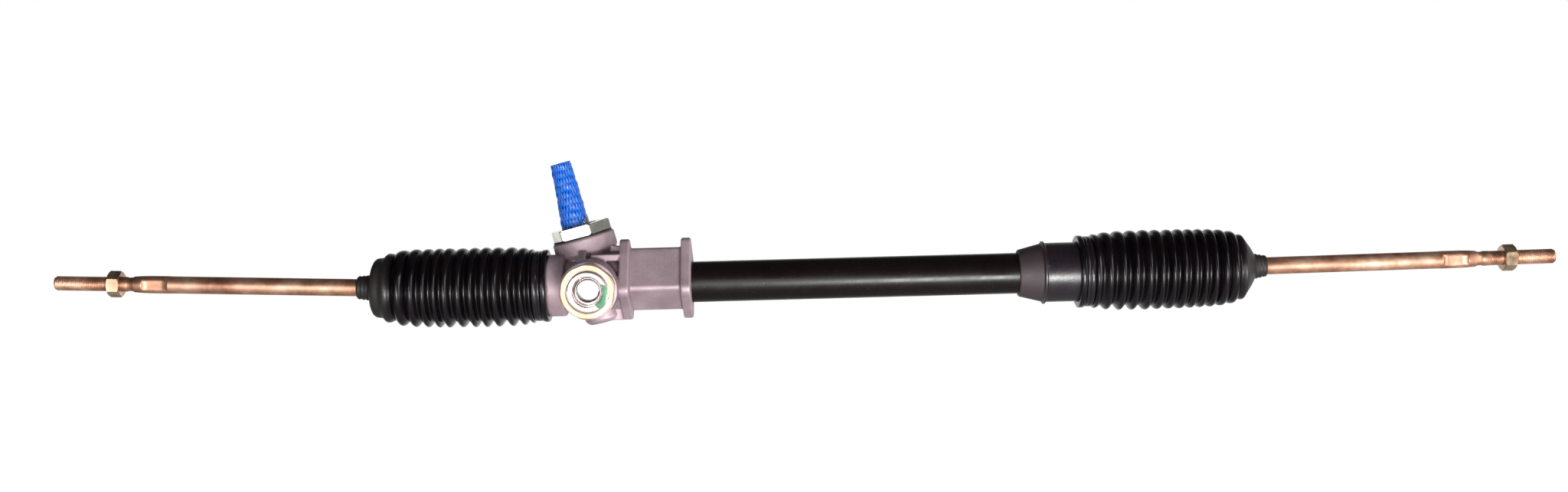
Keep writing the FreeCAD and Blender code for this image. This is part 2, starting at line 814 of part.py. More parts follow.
outline(flat, [
    (size("mesh_x") - toothed_half, rack_line + size("rack_addendum")),
    (size("mesh_x") + toothed_half, rack_line + size("rack_addendum")),
    (size("mesh_x") + toothed_half, size("rack_radius") + 1),
    (size("mesh_x") - toothed_half, size("rack_radius") + 1),
])
extruded(rack, flat, size("rack_radius") * 2, cut=True, midplane=True)
slope = tangent(size("tooth_pressure_angle"))
first_gap_x = size("mesh_x") - tooth_pitch * (size("rack_gap_count") - 1) / 2
root_half = tooth_pitch / 4 + size("tooth_backlash") - size("rack_dedendum") * slope
open_half = tooth_pitch / 4 + size("tooth_backlash") + (size("rack_addendum") + 0.5) * slope
tooth_gap = new_sketch(rack, "tooth_gap", "XY")
outline(tooth_gap, [
    (first_gap_x - root_half, rack_line - size("rack_dedendum")),
    (first_gap_x + root_half, rack_line - size("rack_dedendum")),
    (first_gap_x + open_half, rack_line + size("rack_addendum") + 0.5),
    (first_gap_x - open_half, rack_line + size("rack_addendum") + 0.5),
])
gap_cut = extruded(rack, tooth_gap, size("rack_radius") * 2, cut=True, midplane=True)
before = rack.Shape.Volume
teeth = rack.newObject("PartDesign::LinearPattern", "rack_bar_teeth")
teeth.Originals = [gap_cut]
teeth.Direction = (origin_feature(rack, "X_Axis"), [""])
bind(teeth, "Length", tooth_pitch * (size("rack_gap_count") - 1))
teeth.Occurrences = int(sheet.rack_gap_count)
teeth.setExpression("Occurrences", "sizes.rack_gap_count")
rack.Tip = teeth
doc.recompute()
check_cut(rack, before)


def from_curve(label, shape, **where):
    """A sub-part whose shape is a sweep that no sketch feature makes."""
    thing = doc.addObject("Part::Feature", label)
    thing.Label = label
    thing.Shape = shape
    place(thing, **where)
    NODES.append(thing)
    return thing


def involute(angle):
    return math.tan(angle) - angle


def pinion_section(x, twist):
    """One cross-section of the toothed length, with involute flanks, at a place on the shaft."""
    count = sheet.pinion_tooth_count
    tilt = math.radians(sheet.pinion_tilt)
    rolling = pitch_radius.value
    shift = sheet.tooth_shift
    pressure = math.atan(math.tan(math.radians(sheet.tooth_pressure_angle)) / math.cos(tilt))
    base = rolling * math.cos(pressure)
    thickness = math.pi * rolling / count + 2 * shift * math.tan(pressure)
    half_angle = thickness / 2 / rolling - sheet.tooth_backlash / rolling
    tip, root = sheet.pinion_tip_radius, sheet.pinion_root_radius

    def flank(radius):
        return half_angle + involute(pressure) - involute(math.acos(min(base / radius, 1)))

    def spot(radius, angle):
        angle += twist
        return FreeCAD.Vector(x, -radius * math.cos(angle), -radius * math.sin(angle))

    def arc(*spots):
        return Part.Arc(*spots).toShape()

    edges = []
    middle = (base + 0.05 + tip) / 2
    root_angle = flank(base + 0.05) - 0.03
    for tooth in range(int(count)):
        centre = 2 * math.pi * tooth / count
        onward = centre + 2 * math.pi / count
        edges += [
            Part.LineSegment(
                spot(root, centre - root_angle), spot(base + 0.05, centre - flank(base + 0.05))
            ).toShape(),
            arc(
                spot(base + 0.05, centre - flank(base + 0.05)), spot(middle, centre - flank(middle)),
                spot(tip, centre - flank(tip)),
            ),
            arc(spot(tip, centre - flank(tip)), spot(tip, centre), spot(tip, centre + flank(tip))),
            arc(
                spot(tip, centre + flank(tip)), spot(middle, centre + flank(middle)),
                spot(base + 0.05, centre + flank(base + 0.05)),
            ),
            Part.LineSegment(
                spot(base + 0.05, centre + flank(base + 0.05)), spot(root, centre + root_angle)
            ).toShape(),
            arc(
                spot(root, centre + root_angle), spot(root, (centre + onward) / 2),
                spot(root, onward - root_angle),
            ),
        ]
    return Part.Wire(edges)


def helical_teeth():
    """The toothed length, twisted so that its teeth lie along the rack's straight teeth."""
    half = sheet.pinion_tooth_half_length
    turn_per_mm = math.tan(math.radians(sheet.pinion_tilt)) / pitch_radius.value
    steps = 8
    sections = []
    for step in range(steps + 1):
        x = half * (2 * step / steps - 1)
        sections.append(pinion_section(x, x * turn_per_mm))
    return Part.makeLoft(sections, True, False)


def serrated_shaft():
    """The shaft with journals, a groove for the pinch bolt and the serrated steering end."""
    tail, journal = sheet.pinion_tail_radius, sheet.pinion_journal_radius
    shoulder, serration = sheet.pinion_shoulder_radius, sheet.serration_radius
    half = sheet.pinion_tooth_half_length
    groove = sheet.pinch_groove_start
    groove_end = groove + sheet.pinch_groove_length
    waist = serration - sheet.pinch_groove_depth
    outline_points = [
        (sheet.pinion_tail_end, 0), (sheet.pinion_tail_end, tail - 0.6),
        (sheet.pinion_tail_end + 0.6, tail), (-half, tail), (-half, sheet.pinion_root_radius),
        (half, sheet.pinion_root_radius), (half, shoulder),
        (half + sheet.pinion_shoulder_length, shoulder),
        (half + sheet.pinion_shoulder_length, journal), (sheet.journal_end, journal),
        (sheet.serration_start, serration), (groove, serration), (groove + 1, waist),
        (groove_end - 1, waist), (groove_end, serration), (sheet.pinion_end - 1, serration),
        (sheet.pinion_end, serration - 1), (sheet.pinion_end, 0),
    ]
    points = [FreeCAD.Vector(x, r, 0) for x, r in outline_points]
    face = Part.Face(Part.makePolygon(points + points[:1]))
    shaft = face.revolve(FreeCAD.Vector(), FreeCAD.Vector(1, 0, 0), 360)
    count = int(sheet.serration_count)
    valley = serration - sheet.serration_depth
    corners = []
    for index in range(2 * count):
        radius = serration + 0.3 if index % 2 else valley
        angle = math.pi * index / count
        corners.append(FreeCAD.Vector(0, radius * math.cos(angle), radius * math.sin(angle)))
    star = Part.Face(Part.makePolygon(corners + corners[:1]))
    length = sheet.pinion_end - sheet.serration_start
    star.translate(FreeCAD.Vector(sheet.serration_start, 0, 0))
    serrated = shaft.common(star.extrude(FreeCAD.Vector(length, 0, 0)))
    cutter = Part.makeCylinder(
        serration + 1, length, FreeCAD.Vector(sheet.serration_start, 0, 0), FreeCAD.Vector(1, 0, 0)
    )
    return shaft.cut(cutter).fuse([serrated, helical_teeth()]).removeSplitter()


from_curve("pinion_shaft", serrated_shaft(), **PINION_PLACE)

# Deep-groove ball bearing at the top of the pinion, four pieces
ball_track = (size("pinion_journal_radius") + size("bearing_outer_radius")) / 2
bearing_middle = size("bearing_start") + size("bearing_width") / 2
groove_radius = size("bearing_ball_radius") + size("bearing_groove_gap")
for name, low, high in (
    ("inner", size("pinion_journal_radius"), size("pinion_journal_radius") + size("bearing_race_wall")),
    ("outer", size("bearing_outer_radius") - size("bearing_race_wall"), size("bearing_outer_radius")),
):
    race = new_body(f"pinion_bearing_{name}_race", **PINION_PLACE)
    turned(race, "ring", [
        (size("bearing_start"), low), (size("bearing_start"), high),
        (bearing_end, high), (bearing_end, low),
    ])
    track = new_sketch(race, "track", "XY")
    ring(track, groove_radius, bearing_middle, ball_track)
    before = race.Shape.Volume
    groove = race.newObject("PartDesign::Groove", f"{race.Label}_groove")
    groove.Profile = track
    groove.ReferenceAxis = (track, ["H_Axis"])
    groove.Angle = 360
    doc.recompute()
    check_cut(race, before)


def set_off(feature, x=0, y=0, z=0):
    """Moves a primitive within its body, tied to the sheet."""
    for letter, amount in (("x", x), ("y", y), ("z", z)):
        amount = as_size(amount)
        setattr(feature.Placement.Base, letter, amount.value)
        feature.setExpression(f"Placement.Base.{letter}", amount.text)


balls = new_body("pinion_bearing_balls", **PINION_PLACE)
ball = balls.newObject("PartDesign::AdditiveSphere", "pinion_bearing_ball")
bind(ball, "Radius", size("bearing_ball_radius"))
set_off(ball, bearing_middle, ball_track)
doc.recompute()
repeated(balls, ball, size("bearing_ball_count"), "set")
cage = new_body("pinion_bearing_cage", **PINION_PLACE)
turned(cage, "ring", [
    (bearing_middle - size("bearing_cage_height"), ball_track - size("bearing_cage_wall") / 2),
    (bearing_middle - size("bearing_cage_height"), ball_track + size("bearing_cage_wall") / 2),
    (bearing_middle + size("bearing_cage_height"), ball_track + size("bearing_cage_wall") / 2),
    (bearing_middle + size("bearing_cage_height"), ball_track - size("bearing_cage_wall") / 2),
])
before = cage.Shape.Volume
hollow = cage.newObject("PartDesign::SubtractiveSphere", "pinion_bearing_cage_pocket")
bind(hollow, "Radius", groove_radius)
set_off(hollow, bearing_middle, ball_track)
doc.recompute()
repeated(cage, hollow, size("bearing_ball_count"), "pockets")
check_cut(cage, before)

# Needle bearing at the foot of the pinion
cup = new_body("lower_bearing_cup", **PINION_PLACE)
turned(cup, "wall", [
    (size("needle_cup_start"), needle_cup_bore),
    (size("needle_cup_start"), needle_cup_radius),
    (size("needle_cup_start") + size("needle_cup_length"), needle_cup_radius),
    (size("needle_cup_start") + size("needle_cup_length"), needle_cup_bore),
])
needles = new_body("lower_bearing_needles", **PINION_PLACE)
needle_start = size("needle_cup_start") + (size("needle_cup_length") - size("needle_length")) / 2
needle_sketch = new_sketch(needles, "needle", "YZ", shift=(0, 0, needle_start))
ring(needle_sketch, size("needle_radius"), needle_track, 0)
needle = extruded(needles, needle_sketch, size("needle_length"))
repeated(needles, needle, size("needle_count"), "set")

# Hexagon plug that closes the tower, with its sealing ring and oil seal
plug = new_body("pinion_plug", **PINION_PLACE)
turned(plug, "thread", [
    (bearing_end, size("plug_bore_radius")),
    (bearing_end, size("plug_thread_radius") - size("plug_edge_chamfer")),
    (bearing_end + size("plug_edge_chamfer"), size("plug_thread_radius")),
    (plug_base, size("plug_thread_radius")),
    (plug_base, size("plug_corner_radius") - size("plug_edge_chamfer")),
    (plug_base + size("plug_edge_chamfer"), size("plug_corner_radius")),
    (plug_top - size("plug_edge_chamfer"), size("plug_corner_radius")),
    (plug_top, size("plug_corner_radius") - size("plug_edge_chamfer")),
    (plug_top, size("plug_seal_radius")),
    (plug_top - size("plug_seal_depth"), size("plug_seal_radius")),
    (plug_top - size("plug_seal_depth"), size("plug_bore_radius")),
])


def hexagon_flats(body, name, start, height, flats, turn):
    """Cuts six wrench flats on a round collar between two places along the local X axis."""
    sketch = new_sketch(body, name, "YZ", shift=(0, 0, start), turn=turn)
    ring(sketch, as_size(flats) * 0.75)
    outline(sketch, hexagon(flats))
    return extruded(body, sketch, height, cut=True, back=False)


hexagon_flats(
    plug, "hexagon", plug_base, size("plug_hex_height"), size("plug_flats"), size("plug_hex_turn")
)
seal_ring = new_body("pinion_plug_seal_ring", **PINION_PLACE)
turned(seal_ring, "washer", [
    (size("tower_top"), size("plug_thread_radius")),
    (size("tower_top"), size("seal_ring_radius")),
    (plug_base, size("seal_ring_radius")),
    (plug_base, size("plug_thread_radius")),
])
seal = new_body("pinion_oil_seal", **PINION_PLACE)
seal_start = plug_top - size("plug_seal_depth")
seal_lip_radius = size("pinion_journal_radius") + size("ball_gap")
seal_top = plug_top - size("oil_seal_edge") * 1.5
lip_top = plug_top - size("oil_seal_lip")
turned(seal, "lip", [
    (seal_start, size("plug_seal_radius") - size("oil_seal_wall")),
    (seal_start, size("plug_seal_radius")),
    (seal_top, size("plug_seal_radius")),
    (seal_top, seal_lip_radius + size("oil_seal_lip")),
    (lip_top, seal_lip_radius + size("oil_seal_edge")),
    (lip_top - size("oil_seal_edge") * 2, seal_lip_radius),
    (lip_top - size("oil_seal_edge") * 4, seal_lip_radius + size("oil_seal_edge")),
    (lip_top - size("oil_seal_edge") * 4, seal_lip_radius + size("oil_seal_lip")),
])

# Protective net over the serrated steering end
net = new_body("spline_net_guard", **PINION_PLACE)
net_start = plug_top + size("net_gap")
turned(net, "sleeve", [
    (net_start, size("net_base_radius") - size("net_wall")),
    (net_start, size("net_base_radius")),
    (net_start + size("net_waist_height"), size("net_waist_radius")),
    (size("net_end"), size("net_tip_radius")),
    (size("net_end"), size("net_tip_radius") - size("net_wall")),
    (net_start + size("net_waist_height"), size("net_waist_radius") - size("net_wall")),
])

# Rack guide: a round slipper with a saddle that presses the rack towards the pinion
guide = new_body("rack_guide", **GUIDE_PLACE)
turned(guide, "slipper", [
    (size("guide_face"), 0),
    (size("guide_face"), size("guide_radius")),
    (size("guide_back"), size("guide_radius")),
    (size("guide_back"), 0),
])
liner_bore = size("rack_radius") + size("rack_guide_gap")
saddle_radius = liner_bore + size("liner_wall")
saddle = new_sketch(guide, "saddle", "XZ")
ring(saddle, saddle_radius)
extruded(guide, saddle, size("guide_radius") * 2, cut=True, midplane=True)
ring_groove_radius = size("guide_bore_radius") - size("guide_ring_wire") * 2
turned(guide, "ring_groove", [
    (size("guide_ring_place") - size("guide_ring_wire") - size("guide_ring_side"), ring_groove_radius),
    (size("guide_ring_place") + size("guide_ring_wire") + size("guide_ring_side"), ring_groove_radius),
    (
        size("guide_ring_place") + size("guide_ring_wire") + size("guide_ring_side"),
        size("guide_radius") + 1,
    ),
    (
        size("guide_ring_place") - size("guide_ring_wire") - size("guide_ring_side"),
        size("guide_radius") + 1,
    ),
], cut=True)
turned(guide, "spring_pocket", [
    (size("guide_back") - size("spring_pocket_depth"), 0),
    (size("guide_back") - size("spring_pocket_depth"), size("spring_pocket_radius")),
    (size("guide_back"), size("spring_pocket_radius")),
    (size("guide_back"), 0),
], cut=True)

liner = new_body("guide_liner", **GUIDE_PLACE)
strip = new_sketch(liner, "strip", "XZ")
low_cos, low_sin = cosine(size("liner_half_angle")), sine(size("liner_half_angle"))
outline(strip, [
    (liner_bore * low_cos, -liner_bore * low_sin),
    (saddle_radius * low_cos, -saddle_radius * low_sin, saddle_radius),
    (saddle_radius * low_cos, saddle_radius * low_sin),
    (liner_bore * low_cos, liner_bore * low_sin, -liner_bore),
])
extruded(liner, strip, size("liner_half_width") * 2, midplane=True)

guide_ring = new_body("guide_o_ring", **GUIDE_PLACE)
ring_sketch = new_sketch(guide_ring, "section", "XY")
ring(
    ring_sketch, size("guide_ring_wire"), size("guide_ring_place"),
    size("guide_bore_radius") - size("guide_ring_wire"),
)
ring_turning = guide_ring.newObject("PartDesign::Revolution", "guide_o_ring_turning")
ring_turning.Profile = ring_sketch
ring_turning.ReferenceAxis = (ring_sketch, ["H_Axis"])
ring_turning.Angle = 360
doc.recompute()

spring_start = size("guide_back") - size("spring_pocket_depth")
spring_end = adjuster_start + size("adjuster_pocket_depth")


def coil_spring():
    """A round-wire compression spring about its own Z axis."""
    wire = sheet.spring_wire
    height = (spring_end - spring_start).value - 2 * wire
    path = Part.makeHelix(height / sheet.spring_turns, height, sheet.spring_radius)
    section = Part.Wire(
        Part.makeCircle(wire, FreeCAD.Vector(sheet.spring_radius, 0, 0), FreeCAD.Vector(0, 1, 0))
    )
    coil = Part.Wire(path.Edges).makePipeShell([section], True, True)
    return Part.Solid(coil) if coil.ShapeType == "Shell" else coil


from_curve(
    "guide_spring", coil_spring(), x=size("mesh_x"), y=-(spring_start + size("spring_wire")),
    axis=(1, 0, 0), turn=90,
)

adjuster = new_body("guide_adjuster", **GUIDE_PLACE)
recess_floor = size("adjuster_end") - size("adjuster_recess_depth")
turned(adjuster, "plug", [
    (spring_end, 0),
    (spring_end, size("spring_pocket_radius")),
    (adjuster_start, size("spring_pocket_radius")),
    (adjuster_start, size("guide_thread_radius") - size("adjuster_chamfer")),
    (adjuster_start + size("adjuster_chamfer"), size("guide_thread_radius")),
    (size("adjuster_end") - size("adjuster_chamfer"), size("guide_thread_radius")),
    (size("adjuster_end"), size("guide_thread_radius") - size("adjuster_chamfer")),
    (size("adjuster_end"), size("adjuster_recess_radius")),
    (recess_floor, size("adjuster_recess_radius")),
    (recess_floor, 0),
])
key = new_sketch(adjuster, "key", "YZ", shift=(0, 0, recess_floor))
outline(key, hexagon(size("adjuster_socket_flats")))
extruded(adjuster, key, size("adjuster_socket_depth"), cut=True, back=True)


def hexagon_nut(body, start, height, flats, corner_radius, bore, chamfer, turn):
    """A nut along the local X axis with its corners turned off."""
    start, height, chamfer = as_size(start), as_size(height), as_size(chamfer)
    turned(body, "collar", [
        (start, bore),
        (start, corner_radius - chamfer * 1.5),
        (start + chamfer, corner_radius),
        (start + height - chamfer, corner_radius),
        (start + height, corner_radius - chamfer * 1.5),
        (start + height, bore),
    ])
    hexagon_flats(body, "hexagon", start, height, flats, turn)


guide_nut = new_body("guide_lock_nut", **GUIDE_PLACE)
hexagon_nut(
    guide_nut, size("guide_boss_reach"), size("guide_nut_height"), size("guide_nut_flats"),
    size("guide_nut_corner_radius"), size("guide_thread_radius"), size("adjuster_chamfer"),
    size("guide_nut_turn"),
)

# The two ends. On each, local X points outwards from the ball centre or from the bellows lip.
ball_outer = size("ball_radius") + size("ball_gap")
seat_outer = ball_outer + size("seat_wall")
socket_bore = seat_outer + size("ball_gap")
ball_x = size("rack_half_length") + size("joint_reach")
washer_back = -size("joint_reach")
socket_back = washer_back + size("washer_thickness")


def outwards(side, x, lift=None):
    """The place of an end piece: turned to face outwards and lifted by its angle."""
    lift = as_size(0) if lift is None else lift
    return dict(
        x=x * side, axis=(0, 1, 0), turn=-lift if side > 0 else lift + 180
    )


def flats_cut(body, name, start, length, flats, reach, plane="XZ"):
    """Cuts two opposite wrench flats; each cut is a block outside the flats."""
    sketch = new_sketch(body, name, plane)
    start, half, reach = as_size(start), as_size(flats) / 2, as_size(reach)
    for up in (1, -1):
        outline(sketch, [
            (start, half * up), (start + length, half * up),
            (start + length, reach * up), (start, reach * up),
        ])
    return extruded(body, sketch, reach * 2, cut=True, midplane=True)


def make_socket(name, side):
    """The outer half of the tie rod joint, screwed into the rack's end."""
    socket = new_body(f"{name}_tie_rod_socket", **outwards(side, ball_x))
    turned(socket, "shell", [
        (washer_back - size("socket_stud_length"), 0),
        (washer_back - size("socket_stud_length"), size("socket_stud_radius") - 1),
        (washer_back - size("socket_stud_length") + 1, size("socket_stud_radius")),
        (socket_back, size("socket_stud_radius")),
        (socket_back, size("socket_radius")),
        (size("socket_reach") - size("socket_taper"), size("socket_radius")),
        (size("socket_reach"), size("socket_radius") - size("socket_mouth_step")),
        (size("socket_reach"), 0),
    ])
    before = socket.Shape.Volume
    hollow = socket.newObject("PartDesign::SubtractiveSphere", f"{name}_socket_hollow")
    bind(hollow, "Radius", socket_bore)
    doc.recompute()
    check_cut(socket, before)
    flats_cut(
        socket, "flats", socket_back, size("socket_flat_length"), size("socket_flats"),
        size("socket_radius") + 1,
    )


def make_washer(name, side):
    """The tab washer, with two tabs bent over the socket's flats."""
    washer = new_body(f"{name}_tab_washer", **outwards(side, ball_x))
    turned(washer, "ring", [
        (washer_back, size("socket_stud_radius")),
        (washer_back, size("washer_radius")),
        (socket_back, size("washer_radius")),
        (socket_back, size("socket_stud_radius")),
    ])
    tab = new_sketch(washer, "tabs", "XZ")
    low = size("socket_flats") / 2 + size("washer_tab_lift")
    high = low + size("washer_thickness")
    for up in (1, -1):
        outline(tab, [
            (washer_back, low * up - up), (socket_back, low * up - up), (socket_back, low * up),
            (socket_back + size("washer_tab_length"), low * up),
            (socket_back + size("washer_tab_length"), high * up), (washer_back, high * up),
        ])
    extruded(washer, tab, size("washer_tab_width"), midplane=True)


def make_seat(name, side, lift):
    """The bearing shell that wraps the ball inside the socket."""
    seat = new_body(f"{name}_ball_seat", **outwards(side, ball_x, lift))
    mouth_cos = cosine(size("seat_mouth_angle"))
    mouth_sin = sine(size("seat_mouth_angle"))
    turned(seat, "shell", [
        (-seat_outer, 0, -seat_outer),
        (seat_outer * mouth_cos, seat_outer * mouth_sin),
        (ball_outer * mouth_cos, ball_outer * mouth_sin, ball_outer),
        (-ball_outer, 0),
    ])


thread_x = size("rod_length") - size("thread_length")


def make_rod(name, side, lift):
    """The tie rod: ball, neck, shank, wrench flats, ring and thread.

    Under the lock nut the thread is drawn at its gripped radius, where the two threads interlock.
    """
    rod = new_body(f"{name}_tie_rod", **outwards(side, ball_x, lift))
    nut_start = thread_x + size(f"{name}_nut_gap")
    free_start = nut_start + size("rod_nut_height") + size("gripped_thread_margin")
    ring_x = thread_x - size("ring_length")
    groove_x = ring_x - size("rod_groove_length")
    wrench_x = groove_x - size("band_length") - size("wrench_length")
    neck_cos, neck_sin = cosine(size("ball_neck_angle")), sine(size("ball_neck_angle"))
    turned(rod, "bar", [
        (-size("ball_radius"), 0, -size("ball_radius")),
        (size("ball_radius") * neck_cos, size("ball_radius") * neck_sin),
        (size("rod_neck_end"), size("rod_neck_radius")),
        (size("rod_neck_end") + size("neck_slope"), size("rod_radius")),
        (wrench_x - size("band_slope"), size("rod_radius")),
        (wrench_x, size("band_radius")),
        (groove_x, size("band_radius")),
        (groove_x + size("groove_slope"), size("rod_groove_radius")),
        (ring_x - size("groove_slope"), size("rod_groove_radius")),
        (ring_x, size("ring_radius")),
        (thread_x - size("ring_slope"), size("ring_radius")),
        (thread_x, size("thread_radius")),
        (size("rod_length") - size("rod_tip_chamfer"), size("thread_radius")),
        (size("rod_length"), size("thread_radius") - size("rod_tip_chamfer")),
        (size("rod_length"), 0),
    ])
    turned(rod, "gripped_thread", [
        (nut_start, size("gripped_thread_radius")),
        (free_start, size("gripped_thread_radius")),
        (free_start, size("ring_radius")),
        (nut_start, size("ring_radius")),
    ], cut=True)
    flats_cut(
        rod, "wrench_flats", wrench_x, size("wrench_length"), size("wrench_flats"),
        size("band_radius") + 1, plane="XY",
    )


def make_rod_nut(name, side, lift):
    nut = new_body(f"{name}_tie_rod_lock_nut", **outwards(side, ball_x, lift))
    corner = size("rod_nut_flats") / 2 / cosine(as_size(30)) - size("rod_nut_corner_cut")
    hexagon_nut(
        nut, thread_x + size(f"{name}_nut_gap"), size("rod_nut_height"), size("rod_nut_flats"), corner,
        size("gripped_thread_radius"), size("rod_nut_chamfer"), size(f"{name}_nut_turn"),
    )


def make_bellows(name, side):
    """The folded rubber boot, from its cuff on the rack's casing to its neck on the rod."""
    lift = size(f"{name}_bellows_lift")
    boot = new_body(f"{name}_bellows", **outwards(side, size(f"{name}_bellows_x"), lift))
    cuff_bore = size("spigot_radius") + size("bellows_cuff_gap")
    groove_end = size("bellows_lip_length") + size("clamp_groove_length")
    pitch = size("fold_pitch")
    wall_points = [
        (0, cuff_bore),
        (0, size("bellows_lip_radius")),
        (size("bellows_lip_length"), size("bellows_lip_radius")),
        (size("bellows_lip_length"), size("clamp_groove_radius")),
        (groove_end, size("clamp_groove_radius")),
    ]
    last = int(sheet.fold_count)
    for fold in range(last + 1):
        radius = size("fold_crest_radius")
        if fold == 0:
            radius = size("fold_first_radius")
        if fold == last:
            radius = size("fold_last_radius")
        crest_u = size("bellows_cuff_length") + pitch * fold
        wall_points.append((crest_u, radius))
        if fold < last:
            wall_points.append((crest_u + pitch / 2, size("fold_valley_radius")))
    end = size("bellows_cuff_length") + pitch * last
    neck_end = end + size("dome_foot") + size("bellows_neck_length")
    neck_bore = size("rod_radius") + size("bellows_neck_gap")
    inner = size("fold_valley_radius") - size("bellows_wall")
    wall_points += [
        (end + size("dome_start"), size("dome_start_radius")),
        (end + size("dome_edge"), size("dome_edge_radius")),
        (end + size("dome_foot"), size("dome_foot_radius")),
        (neck_end, size("bellows_neck_radius")),
        (neck_end, neck_bore),
        (end + size("dome_foot") - size("bellows_wall"), neck_bore),
        (end + size("dome_edge") - size("bellows_wall"), size("dome_edge_radius") - size("bellows_dome_wall")),
        (end, inner - size("bellows_step")),
        (size("bellows_cuff_length") + size("bellows_step") * 3, inner),
        (size("bellows_cuff_length") + size("bellows_step") * 2, cuff_bore),
    ]
    turned(boot, "wall", wall_points)

    clamp = new_body(f"{name}_bellows_clamp", **outwards(side, size(f"{name}_bellows_x"), lift))
    clamp_bore = size("clamp_groove_radius")
    clamp_outer = clamp_bore + size("clamp_thickness")
    middle = (size("bellows_lip_length") + groove_end) / 2
    turned(clamp, "band", [
        (size("bellows_lip_length") + size("clamp_side_gap"), clamp_bore),
        (size("bellows_lip_length") + size("clamp_side_gap"), clamp_outer),
        (middle - size("clamp_side_gap"), clamp_outer),
        (middle, clamp_outer - size("clamp_groove_depth")),
        (middle + size("clamp_side_gap"), clamp_outer),
        (groove_end - size("clamp_side_gap"), clamp_outer),
        (groove_end - size("clamp_side_gap"), clamp_bore),
    ])
    tail = new_sketch(clamp, "tail", "YZ", shift=(0, 0, middle))
    near = -side * (clamp_outer - size("clamp_groove_depth"))
    far = -side * (clamp_outer + size("clamp_tail_thickness"))
    outline(tail, [
        (-size("clamp_tail_length") / 2, near),
        (size("clamp_tail_length") / 2, near),
        (size("clamp_tail_length") / 2, far),
        (-size("clamp_tail_length") / 2, far),
    ])
    extruded(clamp, tail, size("clamp_tail_width"), midplane=True)


for end_name, end_side in (("left", -1), ("right", 1)):
    rod_lift = size(f"{end_name}_rod_lift")
    make_socket(end_name, end_side)
    make_washer(end_name, end_side)
    make_seat(end_name, end_side, rod_lift)
    make_rod(end_name, end_side, rod_lift)
    make_rod_nut(end_name, end_side, rod_lift)
    make_bellows(end_name, end_side)


def write_parts():
    """Checks the whole document, then writes one file for each sub-part."""
    doc.recompute()
    for item in doc.Objects:
        if {"Invalid", "Error"} & set(item.State):
            raise RuntimeError(f"{item.Label} failed: {item.State}")
    os.makedirs("parts", exist_ok=True)
    for node in NODES:
        shape = node.Shape
        if shape.isNull() or not shape.isValid() or not shape.Solids:
            raise RuntimeError(f"{node.Label} has no valid solid")
        shape.exportStep(f"parts/{node.Label}.step")
        print(f"{node.Label}: {len(shape.Solids)} solid, {shape.Volume:.0f} cubic mm")


write_parts()
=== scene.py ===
import bpy
import bmesh
import json
import math
from mathutils import Matrix, Vector


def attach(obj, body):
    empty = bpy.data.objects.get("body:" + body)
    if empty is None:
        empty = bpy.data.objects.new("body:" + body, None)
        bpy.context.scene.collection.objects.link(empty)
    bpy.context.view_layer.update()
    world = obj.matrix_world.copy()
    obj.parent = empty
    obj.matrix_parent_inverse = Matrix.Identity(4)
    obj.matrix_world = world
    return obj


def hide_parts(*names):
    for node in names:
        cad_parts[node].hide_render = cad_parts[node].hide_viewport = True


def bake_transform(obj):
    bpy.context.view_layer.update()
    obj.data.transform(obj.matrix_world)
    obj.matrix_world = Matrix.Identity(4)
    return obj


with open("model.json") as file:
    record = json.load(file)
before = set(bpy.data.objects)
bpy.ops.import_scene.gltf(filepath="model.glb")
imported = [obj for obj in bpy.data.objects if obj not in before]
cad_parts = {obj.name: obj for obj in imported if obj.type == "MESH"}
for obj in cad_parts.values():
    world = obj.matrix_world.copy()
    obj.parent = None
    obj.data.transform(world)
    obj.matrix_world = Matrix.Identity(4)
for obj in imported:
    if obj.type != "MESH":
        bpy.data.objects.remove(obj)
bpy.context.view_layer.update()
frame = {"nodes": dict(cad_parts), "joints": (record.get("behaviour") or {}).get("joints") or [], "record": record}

# Lengths are in millimetres until piece() turns them into metres, apart from names that end in _M.
# Angles are in degrees where they are written as numbers, and in radians in the formulas.

MM = 0.001
pinion_joint = [joint for joint in frame["joints"] if joint["name"] == "pinion_turn"][0]
PINION_TILT = math.atan2(-pinion_joint["axis"][0], pinion_joint["axis"][2])
PINION_X = pinion_joint["pos_m"][0] / MM
PINION_Y = 16.0

BALL_X = 302.0
BALL_RADIUS = 13.0
BALL_END = 11.26
BALL_STEP = 6
ROD_PROFILE = [
    (20, 6.5), (26, 7.0), (211.4, 7.0), (213.0, 7.15), (231.0, 7.1), (234.4, 6.9), (238.0, 6.7),
    (241.0, 6.4), (242.0, 5.7), (245.7, 5.5), (246.4, 5.8), (247.0, 6.0), (250.2, 6.0), (251.0, 5.95),
    (251.4, 5.95), (303.6, 5.95), (305.0, 4.7),
]
FLATS_START, FLATS_END, FLATS_HALF = 213.05, 233.55, 5.75
THREAD_START, THREAD_END = 251.4, 303.6
THREAD_PITCH, THREAD_DEPTH = 1.5, 0.85

BOOT_WALL = 1.3
CUFF_LENGTH, CUFF_BORE = 13.0, 24.05
ROD_BORE = 7.03
NECK_BORE_START, DOME_BORE_START = 15.5, 13.0
SEAT_TO_ROD_START, HOUSING_TO_RACK_START = 11.5, 13.5
BEND_START, BEND_END = 14.0, 142.0
FOLD_VALLEY, FIRST_VALLEY = 26.7, 27.4
OPEN_FOLDS, CLOSED_FOLDS = 0.72, 0.16
CUFF_PROFILE = [
    (0, 27.6), (0.25, 28.8), (0.9, 29.25), (3.7, 29.25), (4.4, 28.9), (4.7, 28.0), (4.8, 27.3), (8.6, 27.2),
    (11.6, 27.25), (11.9, 28.2), (12.3, 29.4),
]
